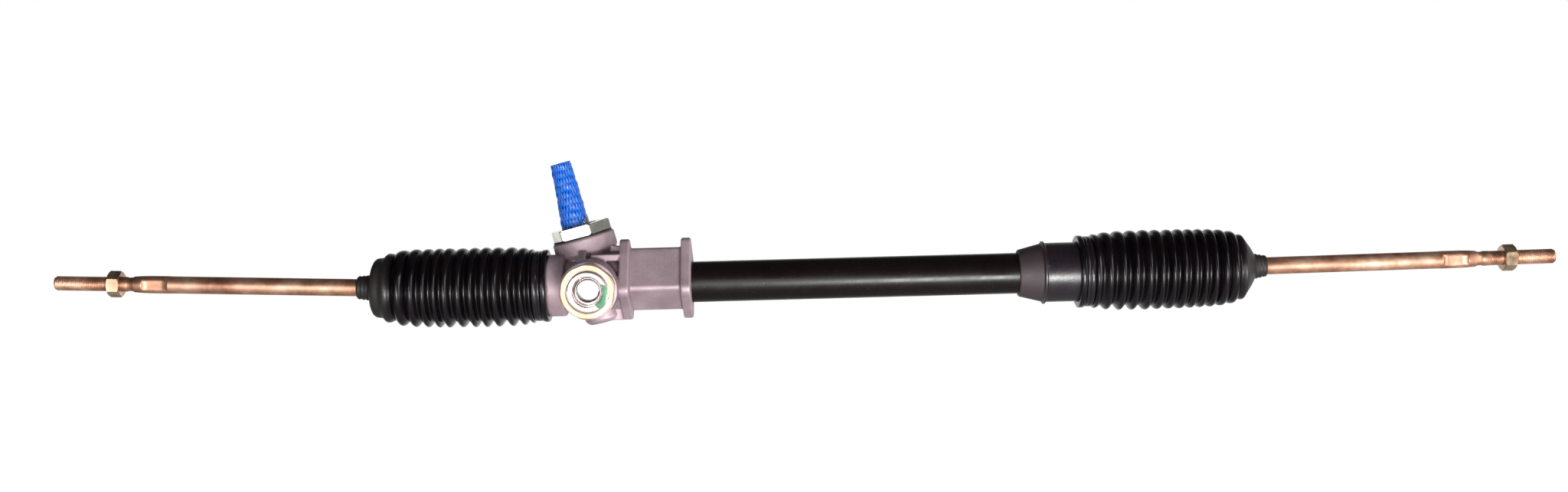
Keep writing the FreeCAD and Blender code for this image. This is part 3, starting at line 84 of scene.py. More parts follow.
# Each end's side of the rack and rod lift, then its boot's lip, the crests outwards from the lip with
# their radii, the depth of the last fold, how far the folds below are closed, the dome after the last
# crest, how much the neck narrows, and the boot's length.
ENDS = {
    "left": dict(
        side=-1, lift=2.4, lip=207.2,
        crests=[12.9, 20.1, 29.7, 40.8, 50.5, 59.8, 69.7, 80.8, 88.6, 97.6, 107.5, 118.0, 129.2],
        tops=[29.9, 31.2, 32.0, 32.2, 32.2, 32.2, 32.1, 32.0, 32.0, 31.8, 31.4, 30.6, 28.0],
        last_valley=26.0,
        closed_below=[(0, 0.0), (160, 0.1)],
        dome=[
            (0, 28.0), (1.3, 27.7), (2.6, 26.6), (3.8, 25.2), (4.8, 24.5), (6.2, 24.3), (8.6, 24.1),
            (10.2, 23.6), (11.6, 22.5), (12.7, 20.4), (13.6, 17.0), (14.3, 13.4), (15.1, 11.0), (16.2, 10.1),
        ],
        neck_taper=1.1, length=155.3,
    ),
    "right": dict(
        side=1, lift=0.45, lip=219.5,
        crests=[13.4, 23.0, 33.6, 43.8, 54.6, 64.2, 73.6, 82.5, 91.1, 98.9, 107.0, 115.4, 124.0, 132.4],
        tops=[29.9, 31.2, 32.0, 32.2, 32.2, 32.2, 32.1, 32.0, 31.9, 31.8, 31.4, 30.7, 29.4, 26.4],
        last_valley=25.0,
        closed_below=[(30, 0.0), (75, 0.9), (160, 0.9)],
        dome=[
            (0, 26.4), (1.0, 25.9), (2.2, 24.2), (4.0, 21.6), (6.0, 18.9), (8.0, 16.0), (9.6, 13.3),
            (10.6, 11.4), (11.6, 10.1),
        ],
        neck_taper=1.9, length=153.4,
    ),
}

NET_START, NET_END = 48.75, 101.5
NET_PROFILE = [
    (NET_START, 11.4), (NET_START + 5, 11.3), (NET_START + 22, 10.1), (NET_END - 4, 8.5), (NET_END, 8.35),
]
NET_SAG = [(NET_START, -3.4), (NET_START + 12, -2.9), (NET_START + 30, -1.8), (NET_END, -1.2)]
NET_STRANDS, NET_ROW = 46, 5.6
STRAND_DEPTH, STRAND_RELIEF = 0.4, 0.38

TAPER_ENDS_M = (0.189, 0.1935)
SLEEVE_PROFILE = [(174.0, 19.25), (190.4, 23.4), (192.6, 25.4), (194.0, 24.0), (232.0, 24.0)]
PARTING_LINE = [(-62.6, -0.05), (-62.0, 0.22), (-61.4, -0.05)]
CASTING_VOXEL = 0.7
ADJUSTER_FACE = 51.6
FLOOR_Z_M, FLOOR_HALF_M = -0.62, 7
FLOOR_GLOW = 0.975
AMBIENT = 0.05


def tone(red, green, blue):
    """A linear colour from the 0-255 values of a screen."""
    out = []
    for value in (red, green, blue):
        value /= 255
        out.append(value / 12.92 if value <= 0.04045 else ((value + 0.055) / 1.055) ** 2.4)
    return (*out, 1.0)


def shaded(colour, share):
    """The same colour, darker."""
    return (*(value * share for value in colour[:3]), 1)


# Materials. Noise scales are counts per metre, and bump depths are in metres.

class Tree:
    """Adds and joins the nodes of one node tree."""

    def __init__(self, tree):
        self.tree = tree

    def add(self, kind, **values):
        """A new node, with each value set on its property or else on its input of that name."""
        node = self.tree.nodes.new(kind)
        for key, value in values.items():
            if hasattr(node, key):
                setattr(node, key, value)
            else:
                node.inputs[key.replace("_", " ")].default_value = value
        return node

    def feed(self, source, socket):
        """Links another node's output to the socket, or sets the socket to a plain value."""
        if isinstance(source, bpy.types.NodeSocket):
            self.tree.links.new(source, socket)
        else:
            socket.default_value = source

    def math(self, operation, *sources):
        node = self.add("ShaderNodeMath", operation=operation)
        for source, socket in zip(sources, node.inputs):
            self.feed(source, socket)
        return node.outputs[0]

    def axes(self, source):
        node = self.add("ShaderNodeSeparateXYZ")
        self.feed(source, node.inputs[0])
        return node.outputs

    def spread(self, source, low, high, start=0.0, end=1.0, smooth=False):
        """Runs from low to high while the source goes from start to end."""
        node = self.add("ShaderNodeMapRange")
        if smooth:
            node.interpolation_type = "SMOOTHSTEP"
        for socket, value in zip(node.inputs, (source, start, end, low, high)):
            self.feed(value, socket)
        return node.outputs[0]


class Surface(Tree):
    """One material, patterned by the object's own coordinates."""

    def __init__(self, name):
        self.material = bpy.data.materials.new(name)
        self.material.use_nodes = True
        super().__init__(self.material.node_tree)
        self.shader = self.tree.nodes["Principled BSDF"]
        self.place = self.add("ShaderNodeTexCoord").outputs["Object"]

    def stretched(self, scale):
        mapping = self.add("ShaderNodeMapping")
        mapping.inputs["Scale"].default_value = scale
        self.feed(self.place, mapping.inputs["Vector"])
        return mapping.outputs["Vector"]

    def noise(self, scale, detail=4.0, rough=0.55, stretch=(1, 1, 1)):
        node = self.add("ShaderNodeTexNoise", Scale=scale, Detail=detail, Roughness=rough)
        self.feed(self.stretched(stretch), node.inputs["Vector"])
        return node.outputs["Fac"]

    def cells(self, scale):
        node = self.add("ShaderNodeTexVoronoi", Scale=scale)
        self.feed(self.stretched((1, 1, 1)), node.inputs["Vector"])
        return node.outputs["Distance"]

    def ramp(self, source, *stops):
        node = self.add("ShaderNodeValToRGB")
        elements = node.color_ramp.elements
        while len(elements) < len(stops):
            elements.new(0.5)
        for element, (position, colour) in zip(elements, stops):
            element.position = position
            element.color = colour
        self.feed(source, node.inputs["Fac"])
        return node.outputs["Color"]

    def mix(self, factor, first, second):
        node = self.add("ShaderNodeMix", data_type="RGBA")
        for source, index in ((factor, 0), (first, 6), (second, 7)):
            self.feed(source, node.inputs[index])
        return node.outputs[2]

    def bump(self, *layers):
        """Stacks bump layers, each a height source with its depth."""
        normal = None
        for source, depth in layers:
            node = self.add("ShaderNodeBump", Strength=1.0, Distance=depth)
            self.feed(source, node.inputs["Height"])
            if normal is not None:
                self.feed(normal, node.inputs["Normal"])
            normal = node.outputs["Normal"]
        self.feed(normal, self.shader.inputs["Normal"])

    def finish(self, colour, roughness, **fixed):
        self.feed(colour, self.shader.inputs["Base Color"])
        self.feed(roughness, self.shader.inputs["Roughness"])
        for key, value in fixed.items():
            self.shader.inputs[key.replace("_", " ")].default_value = value
        return self.material


def cast_aluminium():
    """A blasted casting: painted shade in its creases, and edges paled by wear and by a painted highlight."""
    n = Surface("cast_aluminium")
    patches = n.noise(28, 5, 0.6)
    grain = n.noise(900, 3, 0.7)
    colour = n.ramp(
        patches, (0.28, tone(150, 128, 134)), (0.5, tone(172, 151, 158)), (0.75, tone(194, 175, 182))
    )
    colour = n.mix(n.spread(grain, 0.0, 0.4, 0.35, 0.75), colour, tone(118, 96, 103))
    edges = n.add("ShaderNodeNewGeometry").outputs["Pointiness"]
    # Painted shade: creases and hollows, found by pointiness, are darkened where shade would fall.
    colour = n.mix(n.spread(edges, 0.75, 0.0, 0.40, 0.49), colour, tone(58, 42, 46))
    # Sharp edges are paled, partly as real wear and partly as a painted highlight along them.
    colour = n.mix(n.spread(edges, 0.0, 0.7, 0.515, 0.58), colour, tone(226, 206, 214))
    pits = n.spread(n.cells(420), 0.0, 1.0, 0.0, 0.35)
    n.bump((grain, 0.00006), (n.noise(180, 3, 0.5), 0.00012), (pits, 0.00003))
    rough = n.spread(n.noise(60, 4, 0.6), 0.42, 0.6, 0.3, 0.7)
    return n.finish(colour, rough, Metallic=0.35, Specular_IOR_Level=0.4)


def tube_paint():
    """Smooth black paint with small dust specks."""
    n = Surface("black_tube_paint")
    specks = n.spread(n.cells(210), 1.0, 0.0, 0.0, 0.09)
    colour = n.mix(n.spread(n.noise(35), 0.0, 0.5), tone(14, 8, 8), tone(26, 19, 19))
    colour = n.mix(n.spread(specks, 0.0, 0.35), colour, tone(112, 102, 100))
    n.bump((specks, 0.00005), (n.noise(120, 3, 0.5), 0.00003))
    rough = n.spread(n.noise(50, 4), 0.2, 0.34, 0.3, 0.7)
    return n.finish(colour, rough, Specular_IOR_Level=0.22)


def moulded_black():
    """Moulded plastic with scuffs, glossy on the sleeve's cylinder and dull on its taper."""
    n = Surface("black_moulding")
    grain = n.noise(1400, 3, 0.7)
    taper = n.spread(n.axes(n.place)[0], 1.0, 0.0, *TAPER_ENDS_M)
    colour = n.mix(n.spread(n.noise(40), 0.0, 0.7), tone(20, 13, 20), tone(32, 24, 32))
    colour = n.mix(n.spread(grain, 0.0, 0.25, 0.4, 0.8), colour, tone(60, 50, 56))
    colour = n.mix(n.spread(taper, 0.0, 0.5), colour, tone(72, 60, 62))
    gloss = n.spread(n.noise(80, 4), 0.22, 0.34, 0.3, 0.7)
    rough = n.math("MULTIPLY_ADD", taper, 0.28, gloss)
    scuffs = n.spread(n.noise(60, 5, 0.7, (0.25, 1, 1)), 0.0, 1.0, 0.62, 0.7)
    colour = n.mix(n.spread(scuffs, 0.0, 0.25), colour, tone(96, 90, 88))
    n.bump((grain, 0.00005), (n.noise(260, 3, 0.6), 0.00004))
    return n.finish(colour, rough, Specular_IOR_Level=0.5)


def boot_rubber():
    """Black rubber with a little dust, glossy on the folds and dull on the dome."""
    n = Surface("boot_rubber")
    colour = n.mix(n.spread(n.noise(55, 5), 0.0, 1.0, 0.3, 0.7), tone(6, 4, 6), tone(16, 12, 15))
    dust = n.spread(n.noise(240, 5, 0.7), 0.0, 0.35, 0.62, 0.8)
    colour = n.mix(dust, colour, tone(54, 46, 48))
    dome = n.add("ShaderNodeAttribute", attribute_name="dome").outputs["Fac"]
    colour = n.mix(n.spread(dome, 0.0, 0.65), colour, tone(46, 42, 42))
    gloss = n.spread(n.noise(70, 4), 0.17, 0.27, 0.3, 0.7)
    rough = n.math("MULTIPLY_ADD", dome, 0.28, gloss)
    n.bump((n.noise(700, 3, 0.6), 0.000015), (n.noise(90, 3, 0.5), 0.0001))
    return n.finish(colour, rough, Specular_IOR_Level=0.3)


def plated(name, dark, middle, light, smoothest, roughest, scale=45.0, metallic=0.9, relief=1.0):
    """A zinc-plated steel, with the cloudy shade changes of its passivation."""
    n = Surface(name)
    cloud = n.noise(scale, 5, 0.6)
    colour = n.ramp(cloud, (0.3, dark), (0.52, middle), (0.72, light))
    stains = n.spread(n.noise(scale * 6, 4, 0.7), 0.0, 0.3, 0.6, 0.75)
    colour = n.mix(stains, colour, dark)
    scratches = n.noise(900, 2, 0.5, (0.08, 1, 1))
    n.bump((scratches, 0.00001 * relief), (n.noise(260, 3, 0.5), 0.00002 * relief))
    rough = n.spread(n.noise(scale * 2, 4, 0.6), smoothest, roughest, 0.3, 0.7)
    return n.finish(colour, rough, Metallic=metallic)


def plain_steel(name, colour, rough=0.3, metallic=0.9):
    """Drawn or ground steel, faintly clouded."""
    n = Surface(name)
    cloud = n.noise(80, 4, 0.6)
    mixed = n.mix(n.spread(cloud, 0.0, 1.0, 0.35, 0.7), colour, shaded(colour, 0.6))
    n.bump((n.noise(700, 2, 0.5, (0.1, 1, 1)), 0.00001))
    return n.finish(mixed, n.spread(cloud, rough * 0.8, rough * 1.3, 0.3, 0.7), Metallic=metallic)


def plain_plastic(name, colour, rough=0.5):
    """Moulded plastic or rubber, faintly clouded."""
    n = Surface(name)
    cloud = n.noise(120, 4, 0.6)
    n.bump((n.noise(800, 3, 0.6), 0.00003))
    return n.finish(n.mix(n.spread(cloud, 0.0, 1.0, 0.3, 0.7), colour, shaded(colour, 0.75)), rough)


def net_plastic():
    """Stretched blue film, with painted shade between the strands and a painted highlight on each strand's crown.
    """
    n = Surface("blue_net")
    strand = n.add("ShaderNodeAttribute", attribute_name="strand").outputs["Fac"]
    # Painted shade and highlight: dark between the strands and bright along their crowns, by strand height.
    colour = n.ramp(
        strand, (0.0, tone(0, 30, 104)), (0.35, tone(0, 64, 168)), (0.8, tone(0, 108, 216))
    )
    colour = n.mix(n.spread(n.noise(90, 4), 0.0, 0.3, 0.45, 0.75), colour, tone(2, 76, 196))
    n.bump((n.noise(500, 3, 0.5), 0.00005))
    return n.finish(colour, 0.3, Specular_IOR_Level=0.35, Coat_Weight=0.25, Coat_Roughness=0.1)


def green_paint():
    """A paint dab, paler where it is thick."""
    n = Surface("green_paint_mark")
    thick = n.noise(220, 4, 0.6)
    colour = n.ramp(thick, (0.3, tone(0, 84, 42)), (0.55, tone(6, 116, 62)), (0.8, tone(40, 150, 92)))
    n.bump((thick, 0.0001))
    return n.finish(colour, 0.3, Coat_Weight=0.4)


MATERIALS = {
    "cast_aluminium": cast_aluminium(),
    "black_tube_paint": tube_paint(),
    "black_moulding": moulded_black(),
    "bush_plastic": plain_plastic("bush_plastic", tone(226, 220, 200)),
    "steel": plain_steel("ground_steel", tone(168, 166, 166)),
    "spring_steel": plain_steel("spring_steel", tone(96, 94, 96), 0.35),
    "bearing_steel": plain_steel("bearing_steel", tone(196, 198, 202), 0.15),
    "cage_plastic": plain_plastic("cage_plastic", tone(38, 96, 66)),
    "bright_zinc": plated(
        "bright_zinc", tone(206, 194, 192), tone(228, 220, 220), tone(240, 236, 236), 0.12, 0.2,
        scale=30, metallic=1.0, relief=0.02,
    ),
    "gold_zinc": plated(
        "gold_zinc", tone(158, 128, 104), tone(204, 176, 150), tone(228, 206, 186), 0.4, 0.52,
        metallic=0.7,
    ),
    "copper_zinc": plated(
        "copper_zinc", tone(150, 106, 84), tone(204, 156, 130), tone(232, 196, 174), 0.4, 0.5,
        relief=0.4,
    ),
    "boot_rubber": boot_rubber(),
    "seal_rubber": plain_plastic("seal_rubber", tone(24, 22, 22), 0.45),
    "blue_net": net_plastic(),
    "clamp_black": plain_steel("clamp_black", tone(30, 25, 30), 0.2, 0.2),
    "seat_plastic": plain_plastic("seat_plastic", tone(216, 208, 188)),
}
ROD_NUT_METAL = plated(
    "olive_zinc", tone(126, 100, 78), tone(192, 164, 136), tone(232, 208, 180), 0.22, 0.38, scale=70
)
PLUG_METAL = plated(
    "plug_zinc", tone(170, 168, 146), tone(214, 214, 202), tone(246, 246, 242), 0.1, 0.2,
    scale=50, metallic=1.0, relief=0.3,
)


def dress_nodes():
    """Gives each carried-over node the material of its slot, or one of its own."""
    own = {
        "left_tie_rod_lock_nut": ROD_NUT_METAL,
        "right_tie_rod_lock_nut": ROD_NUT_METAL,
        "pinion_plug": PLUG_METAL,
    }
    slot_of = {entry["node"]: entry["material_slot"] for entry in frame["record"]["subparts"]}
    for node, thing in frame["nodes"].items():
        material = own.get(node, MATERIALS[slot_of[node]])
        if not thing.material_slots:
            thing.data.materials.append(material)
        for place in thing.material_slots:
            place.material = material


# Helpers for pieces built in code

def piece(name, vertices, faces, slot, body, matrix=None, material=None, attributes=None):
    """A shaded mesh piece, from points in millimetres, that rides on a body where one is given."""
    mesh = bpy.data.meshes.new(name)
    if matrix is not None:
        vertices = [matrix @ Vector(vertex) for vertex in vertices]
    mesh.from_pydata([tuple(value * MM for value in vertex) for vertex in vertices], [], faces)
    for key, values in (attributes or {}).items():
        layer = mesh.attributes.new(key, "FLOAT", "POINT")
        layer.data.foreach_set("value", values)
    mesh.validate()
    outward = bmesh.new()
    outward.from_mesh(mesh)
    bmesh.ops.recalc_face_normals(outward, faces=outward.faces)
    outward.to_mesh(mesh)
    outward.free()
    for polygon in mesh.polygons:
        polygon.use_smooth = True
    thing = bpy.data.objects.new(name, mesh)
    bpy.context.scene.collection.objects.link(thing)
    mesh.materials.append(material or MATERIALS[slot])
    if body:
        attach(thing, body)
    return thing


def round_angles(segments):
    return [2 * math.pi * k / segments for k in range(segments)]


def turned(profile, segments, shape=None):
    """Rings of points round X from pairs of (x, radius), which shape(x, radius, angle) may alter."""
    vertices = []
    for x, radius in profile:
        for angle in round_angles(segments):
            r = shape(x, radius, angle) if shape else radius
            vertices.append((x, r * math.cos(angle), r * math.sin(angle)))
    return vertices


def ring_faces(rings, segments, wrap=False):
    """Faces between neighbouring rings; wrap also joins the last ring to the first."""
    faces = []
    for ring in range(rings if wrap else rings - 1):
        here, onward = ring * segments, (ring + 1) % rings * segments
        for k in range(segments):
            after = (k + 1) % segments
            faces.append((here + k, here + after, onward + after, onward + k))
    return faces


def sheet_faces(rows, across):
    """Faces of an open sheet of rows by across cells."""
    faces = []
    for row in range(rows):
        for k in range(across):
            a = row * (across + 1) + k
            faces.append((a, a + 1, a + across + 2, a + across + 1))
    return faces


def along(points, x):
    """Linear interpolation in a list of (x, value)."""
    for (x0, v0), (x1, v1) in zip(points, points[1:]):
        if x <= x1:
            return v0 if x1 == x0 else v0 + (v1 - v0) * max(0.0, (x - x0) / (x1 - x0))
    return points[-1][1]


def clip(value, low=0.0, high=1.0):
    return min(max(value, low), high)


def rod_matrix(end):
    """The frame of one tie rod: X outwards from its ball centre."""
    side, lift = ENDS[end]["side"], math.radians(ENDS[end]["lift"])
    turn = -lift if side > 0 else math.pi + lift
    return Matrix.Translation(Vector((BALL_X * side, 0, 0))) @ Matrix.Rotation(turn, 4, "Y")


def lip_matrix(end):
    """The frame of one boot: X outwards from its lip."""
    side = ENDS[end]["side"]
    matrix = Matrix.Translation(Vector((ENDS[end]["lip"] * side, 0, 0)))
    return matrix if side > 0 else matrix @ Matrix.Rotation(math.pi, 4, "Y")


def pinion_matrix():
    """The pinion's frame: X along its shaft, away from the rack."""
    turn = Matrix.Rotation(-(math.pi / 2 + PINION_TILT), 4, "Y")
    return Matrix.Translation(Vector((PINION_X, PINION_Y, 0))) @ turn


# Pieces

def tie_rod(end):
    """The plated rod with its ball, wrench flats, neck and rolled thread."""
    segments = 40
    ball = [-BALL_RADIUS * math.cos(math.radians(turn)) for turn in range(0, 150, BALL_STEP)]
    stations = [x for x in ball if x < BALL_END - 0.16]
    stations += [BALL_END, 14, 17, 20, 23, 26] + [26 + 20.6 * k for k in range(1, 9)]
    stations += [211.4, 212.2, 213.0, 213.1, 218, 223, 228, 233.5, 233.6, 234.4, 237, 240.4, 240.9]
    stations += [241.4, 242.0, 245.6, 246.0, 246.4, 247.0, 250.2, 250.7, 251.0, THREAD_START]
    step = THREAD_PITCH / 5
    steps = int((THREAD_END - THREAD_START) / step)
    stations += [THREAD_START + step * k for k in range(1, steps + 1)]
    stations += [303.8, 304.3, 304.8, 305.0]

    def shape(x, radius, angle):
        if x < BALL_END:
            return max(math.sqrt(max(BALL_RADIUS**2 - x * x, 0)), 0.02)
        if FLATS_START < x < FLATS_END:
            radius = min(radius, FLATS_HALF / max(abs(math.cos(angle)), 1e-6))
        if x > THREAD_START:
            turn = (x / THREAD_PITCH - angle / (2 * math.pi)) % 1.0
            groove = clip((abs(turn - 0.5) * 2 - 0.12) / 0.76)
            radius -= THREAD_DEPTH * groove * min(1, (x - THREAD_START) / 2)
        return radius

    vertices = turned([(x, along(ROD_PROFILE, x)) for x in stations], segments, shape)
    faces = ring_faces(len(stations), segments)
    faces.append(tuple(range(segments)))
    faces.append(tuple(range(len(vertices) - segments, len(vertices))))
    rod = piece(f"{end}_rod", vertices, faces, "copper_zinc", f"{end}_rod", rod_matrix(end))
    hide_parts(f"{end}_tie_rod")


def boot_profile(end, sharpness):
    """The boot's outer outline, as (distance from the lip, radius). Low sharpness narrows the grooves."""
    facts = ENDS[end]
    crests, tops = facts["crests"], facts["tops"]
    points = list(CUFF_PROFILE)
    folds, steps = len(crests) - 1, 10
    for fold in range(folds):
        start, onward = crests[fold], crests[fold + 1]
        valley = facts["last_valley"] if fold == folds - 1 else FOLD_VALLEY if fold else FIRST_VALLEY
        for k in range(steps):
            t = k / steps
            wave = 0.5 + 0.5 * math.cos(2 * math.pi * t)
            top = tops[fold] if t < 0.5 else tops[fold + 1]
            points.append((start + (onward - start) * t, valley + (top - valley) * wave**sharpness))
    points += [(crests[-1] + u, radius) for u, radius in facts["dome"]]
    neck, length, steps = points[-1][0], facts["length"], 13
    for k in range(1, steps):
        t = k / steps
        bead = 0.55 * math.sin(3 * math.pi * t) ** 2
        points.append((neck + (length - neck) * t, 9.9 - facts["neck_taper"] * t + bead))
    return points + [(length - 0.2, 8.6), (length, 8.0)]


def boot_line(end, u):
    """The tilt and lift of the boot's middle line, from the lip's axis to the lifted rod's."""
    slope = math.tan(math.radians(ENDS[end]["lift"]))
    ball = BALL_X - ENDS[end]["lip"]
    if u <= BEND_START:
        return 0.0, 0.0
    if u >= BEND_END:
        return math.atan(slope), (u - ball) * slope
    span, goal = BEND_END - BEND_START, (BEND_END - ball) * slope
    t = (u - BEND_START) / span
    lift = goal * (3 * t * t - 2 * t**3) + slope * span * (t**3 - t * t)
    rate = (goal * (6 * t - 6 * t * t) + slope * span * (3 * t * t - 2 * t)) / span
    return math.atan(rate), lift


def boot(end):
    """Three boot pieces split at seams in fold valleys, baked in place without riding on any body."""
    facts = ENDS[end]
    side, crests = facts["side"], facts["crests"]
    outline, shut = boot_profile(end, OPEN_FOLDS), boot_profile(end, CLOSED_FOLDS)
    first_seam, second_seam = (crests[10] + crests[11]) / 2, (crests[11] + crests[12]) / 2
    sections = (
        ("housing", "rack", HOUSING_TO_RACK_START, first_seam),
        ("rack", f"{end}_seat", first_seam, second_seam),
        (f"{end}_seat", f"{end}_rod", second_seam, crests[-1] + SEAT_TO_ROD_START),
    )
    segments = 96

    def inner_radius(u, radius):
        if u < CUFF_LENGTH:
            return CUFF_BORE
        if u > crests[-1] + NECK_BORE_START:
            return ROD_BORE
        return max(radius - BOOT_WALL, ROD_BORE if u > crests[-1] + DOME_BORE_START else 5)

    def ring(u, radius):
        tilt, lift = boot_line(end, u)
        closing = along(shut, u) - along(outline, u) if crests[0] < u < crests[-1] else 0.0
        points = []
        for angle in round_angles(segments):
            sway = 0.12 * math.sin(angle * 2 + u * 0.21) * math.sin(math.pi * clip(u / 150))
            r = radius + sway if 14 < u < 140 else radius
            upward = math.sin(angle) * side
            r += closing * (1.0 if upward > 0 else along(facts["closed_below"], u)) * abs(upward) ** 2
            y, z = r * math.cos(angle), r * math.sin(angle)
            points.append((u - z * math.sin(tilt) * side, y, side * lift + z * math.cos(tilt)))
        return points

    for index, (parent, child, start, stop) in enumerate(sections):
        low = start if index > 0 else -1
        high = stop if index < 2 else facts["length"] + 1
        rows = [point for point in outline if low < point[0] < high]
        if index > 0:
            rows.insert(0, (low, along(outline, low)))
        if index < 2:
            rows.append((high, along(outline, high)))
        loop = rows + [(u, inner_radius(u, radius)) for u, radius in reversed(rows)]
        vertices, dome = [], []
        for u, radius in loop:
            vertices += ring(u, radius)
            dome += [clip((u - crests[-1] + 4) / 6)] * segments
        shell = piece(
            f"{end}_boot_{index + 1}", vertices, ring_faces(len(loop), segments, wrap=True),
            "boot_rubber", None, lip_matrix(end), attributes={"dome": dome},
        )
        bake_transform(shell)
        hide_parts(f"{end}_bellows")


def clamp(end):
    """The black band that seats the boot's cuff, with a thin groove round it."""
    start, stop, segments = 5.0, 11.3, 128
    profile = [
        (start, 27.4), (start, 28.0), (start + 0.4, 28.35), (6.9, 28.4), (7.0, 28.1), (7.3, 28.1),
        (7.4, 28.4), (stop - 0.4, 28.35), (stop, 28.0), (stop, 27.4),
    ]

    def rippled(x, radius, angle):
        ripple = 0.03 * math.sin(angle * 9 + x) + 0.02 * math.sin(angle * 23)
        return radius + (ripple if radius > 28 else 0)

    band = piece(
        f"{end}_band", turned(profile, segments, rippled), ring_faces(len(profile), segments, wrap=True),
        "clamp_black", "housing", lip_matrix(end),
    )
    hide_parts(f"{end}_bellows_clamp")


def strand_height(x, angle):
    """How high the net stands there, from 0 between strands to 1 on a strand's crown."""
    cell = 2 * math.pi / NET_STRANDS
    nearest = int(angle / cell)
    best = 0.0
    for strand in (nearest - 1, nearest, nearest + 1, nearest + 2):
        wander = 0.3 * math.sin(x * 0.31 + (strand % NET_STRANDS) * 1.7)
        wave = math.cos(math.pi * (x + wander) / NET_ROW) * (-1) ** strand
        sway = cell * (0.34 * wave + 0.12 * wander)
        away = abs(angle - (strand * cell + sway)) / (cell * 0.5)
        if away < 1:
            best = max(best, math.sqrt(1 - away * away))
    return best


def net():
    """The stretched blue net: fine wavy strands that meet their neighbours in staggered rows."""
    segments, rows = NET_STRANDS * 8, 230
    vertices, shade = [], []
    for row in range(rows + 1):
        x = NET_START + (NET_END - NET_START) * row / rows
        for angle in round_angles(segments):
            height = strand_height(x - NET_START, angle)
            crease = 0.16 * math.sin(x * 0.45 + angle * 2) + 0.1 * math.sin(angle * 5 + x * 0.8)
            bulge = 0.12 * math.cos(2 * math.pi * (x - NET_START) / NET_ROW)
            r = along(NET_PROFILE, x) - STRAND_DEPTH + STRAND_RELIEF * height + crease + bulge
            vertices.append((x, r * math.cos(angle), r * math.sin(angle) - along(NET_SAG, x)))
            # The strand height also drives the net's painted shade between strands and painted highlight on
            # crowns.
            shade.append(height)
    end_sag = NET_SAG[-1][1]
    for x, y, z in vertices[-segments:]:
        vertices.append((NET_END - 0.4, y * 0.93, (z + end_sag) * 0.93 - end_sag))
        shade.append(0.1)
    sleeve = piece(
        "net_sleeve", vertices, ring_faces(rows + 2, segments), "blue_net", "pinion",
        pinion_matrix(), attributes={"strand": shade},
    )
    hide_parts("spline_net_guard")


def cast_housing():
    """The casting with its corners blended, as a mould leaves them."""
    source = frame["nodes"]["gear_housing"]
    casting = bpy.data.objects.new("housing_casting", source.data.copy())
    bpy.context.scene.collection.objects.link(casting)
    remesh = casting.modifiers.new("skin", "REMESH")
    remesh.mode = "VOXEL"
    remesh.voxel_size = CASTING_VOXEL * MM
    soften = casting.modifiers.new("blend", "SMOOTH")
    soften.factor = 0.5
    soften.iterations = 2
    settled = casting.evaluated_get(bpy.context.evaluated_depsgraph_get())
    mesh = bpy.data.meshes.new_from_object(settled)
    casting.modifiers.clear()
    casting.data = mesh
    for polygon in mesh.polygons:
        polygon.use_smooth = True
    mesh.materials.clear()
    mesh.materials.append(MATERIALS["cast_aluminium"])
    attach(casting, "housing")
    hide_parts("gear_housing")


def plug_seal():
    """The plug's dark seal, widened out to the plug's corners to stand as painted shade in the gap below it."""
    low, high, segments = 39.12, 40.08, 96
    profile = [
        # Out to 24.5 mm the dark ring is painted shade in the gap, past the seal's own size.
        (low, 21.0), (low, 24.2), (low + 0.3, 24.5), (high - 0.3, 24.5), (high, 24.2), (high, 21.0),
    ]
    seal = piece(
        "plug_seal", turned(profile, segments), ring_faces(len(profile), segments, wrap=True),
        "seal_rubber", "housing", pinion_matrix(),
    )
    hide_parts("pinion_plug_seal_ring")


def parting_line():
    """The moulding's parting line along the sleeve's lower front."""
    vertices = []
    for x, radius in SLEEVE_PROFILE:
        for turn, lift in PARTING_LINE:
            angle, r = math.radians(turn), radius + lift
            vertices.append((x, -r * math.cos(angle), r * math.sin(angle)))
    faces = sheet_faces(len(SLEEVE_PROFILE) - 1, len(PARTING_LINE) - 1)
    piece("sleeve_parting_line", vertices, faces, "black_moulding", "housing")


def adjuster():
    """The guide's adjuster: a bright ring inside a dark thread gap, round a polished bowl."""
    segments = 144
    profile = [
        (36.0, 17.2), (48.9, 17.2), (49.1, 16.4), (51.35, 16.35), (ADJUSTER_FACE, 16.1),
        (ADJUSTER_FACE, 12.5), (51.45, 12.15), (51.1, 12.0), (48.0, 11.85), (45.6, 11.5), (43.8, 10.9),
        (42.5, 10.1), (41.6, 9.1), (41.1, 8.0), (40.85, 6.6), (40.7, 4.5), (40.65, 2.2), (40.65, 0.02),
    ]
    vertices = [(PINION_X + across, -depth, up) for depth, across, up in turned(profile, segments)]
    faces = ring_faces(len(profile), segments) + [tuple(range(segments))]
    plug = piece("adjuster_plug", vertices, faces, "bright_zinc", "housing")
    crease = plug.modifiers.new("edges", "EDGE_SPLIT")
    crease.split_angle = math.radians(50)
    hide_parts("guide_adjuster")


def paint_mark():
    """A dab of green paint across the adjuster's ring and down into its recess."""
    steps, across = 36, 12
    inside = [(0.0, 12.0), (0.15, 12.1), (0.4, 12.2), (0.7, 12.0), (0.9, 11.4), (1.0, 12.1)]
    outside = [(0.0, 13.4), (0.15, 15.2), (0.4, 16.6), (0.7, 17.2), (0.9, 16.9), (1.0, 14.4)]
    vertices = []
    for step in range(steps + 1):
        t = step / steps
        angle = math.radians(28 - 88 * t)
        low = along(inside, t) + 0.12 * math.sin(t * 19)
        high = along(outside, t) + 0.15 * math.sin(t * 13)
        for k in range(across + 1):
            s = k / across
            r = low + (high - low) * s
            swell = 0.3 * math.sin(math.pi * s) * math.sin(math.pi * clip(t, 0.03, 0.97))
            over = clip((12.3 - r) / 0.4)
            depth = ADJUSTER_FACE + 0.03 + swell - 0.2 * over
            vertices.append((PINION_X + r * math.cos(angle), -depth, r * math.sin(angle)))
    faces = sheet_faces(steps, across)
    piece("paint_mark", vertices, faces, None, "housing", material=green_paint())


# Floor, world, lights and camera

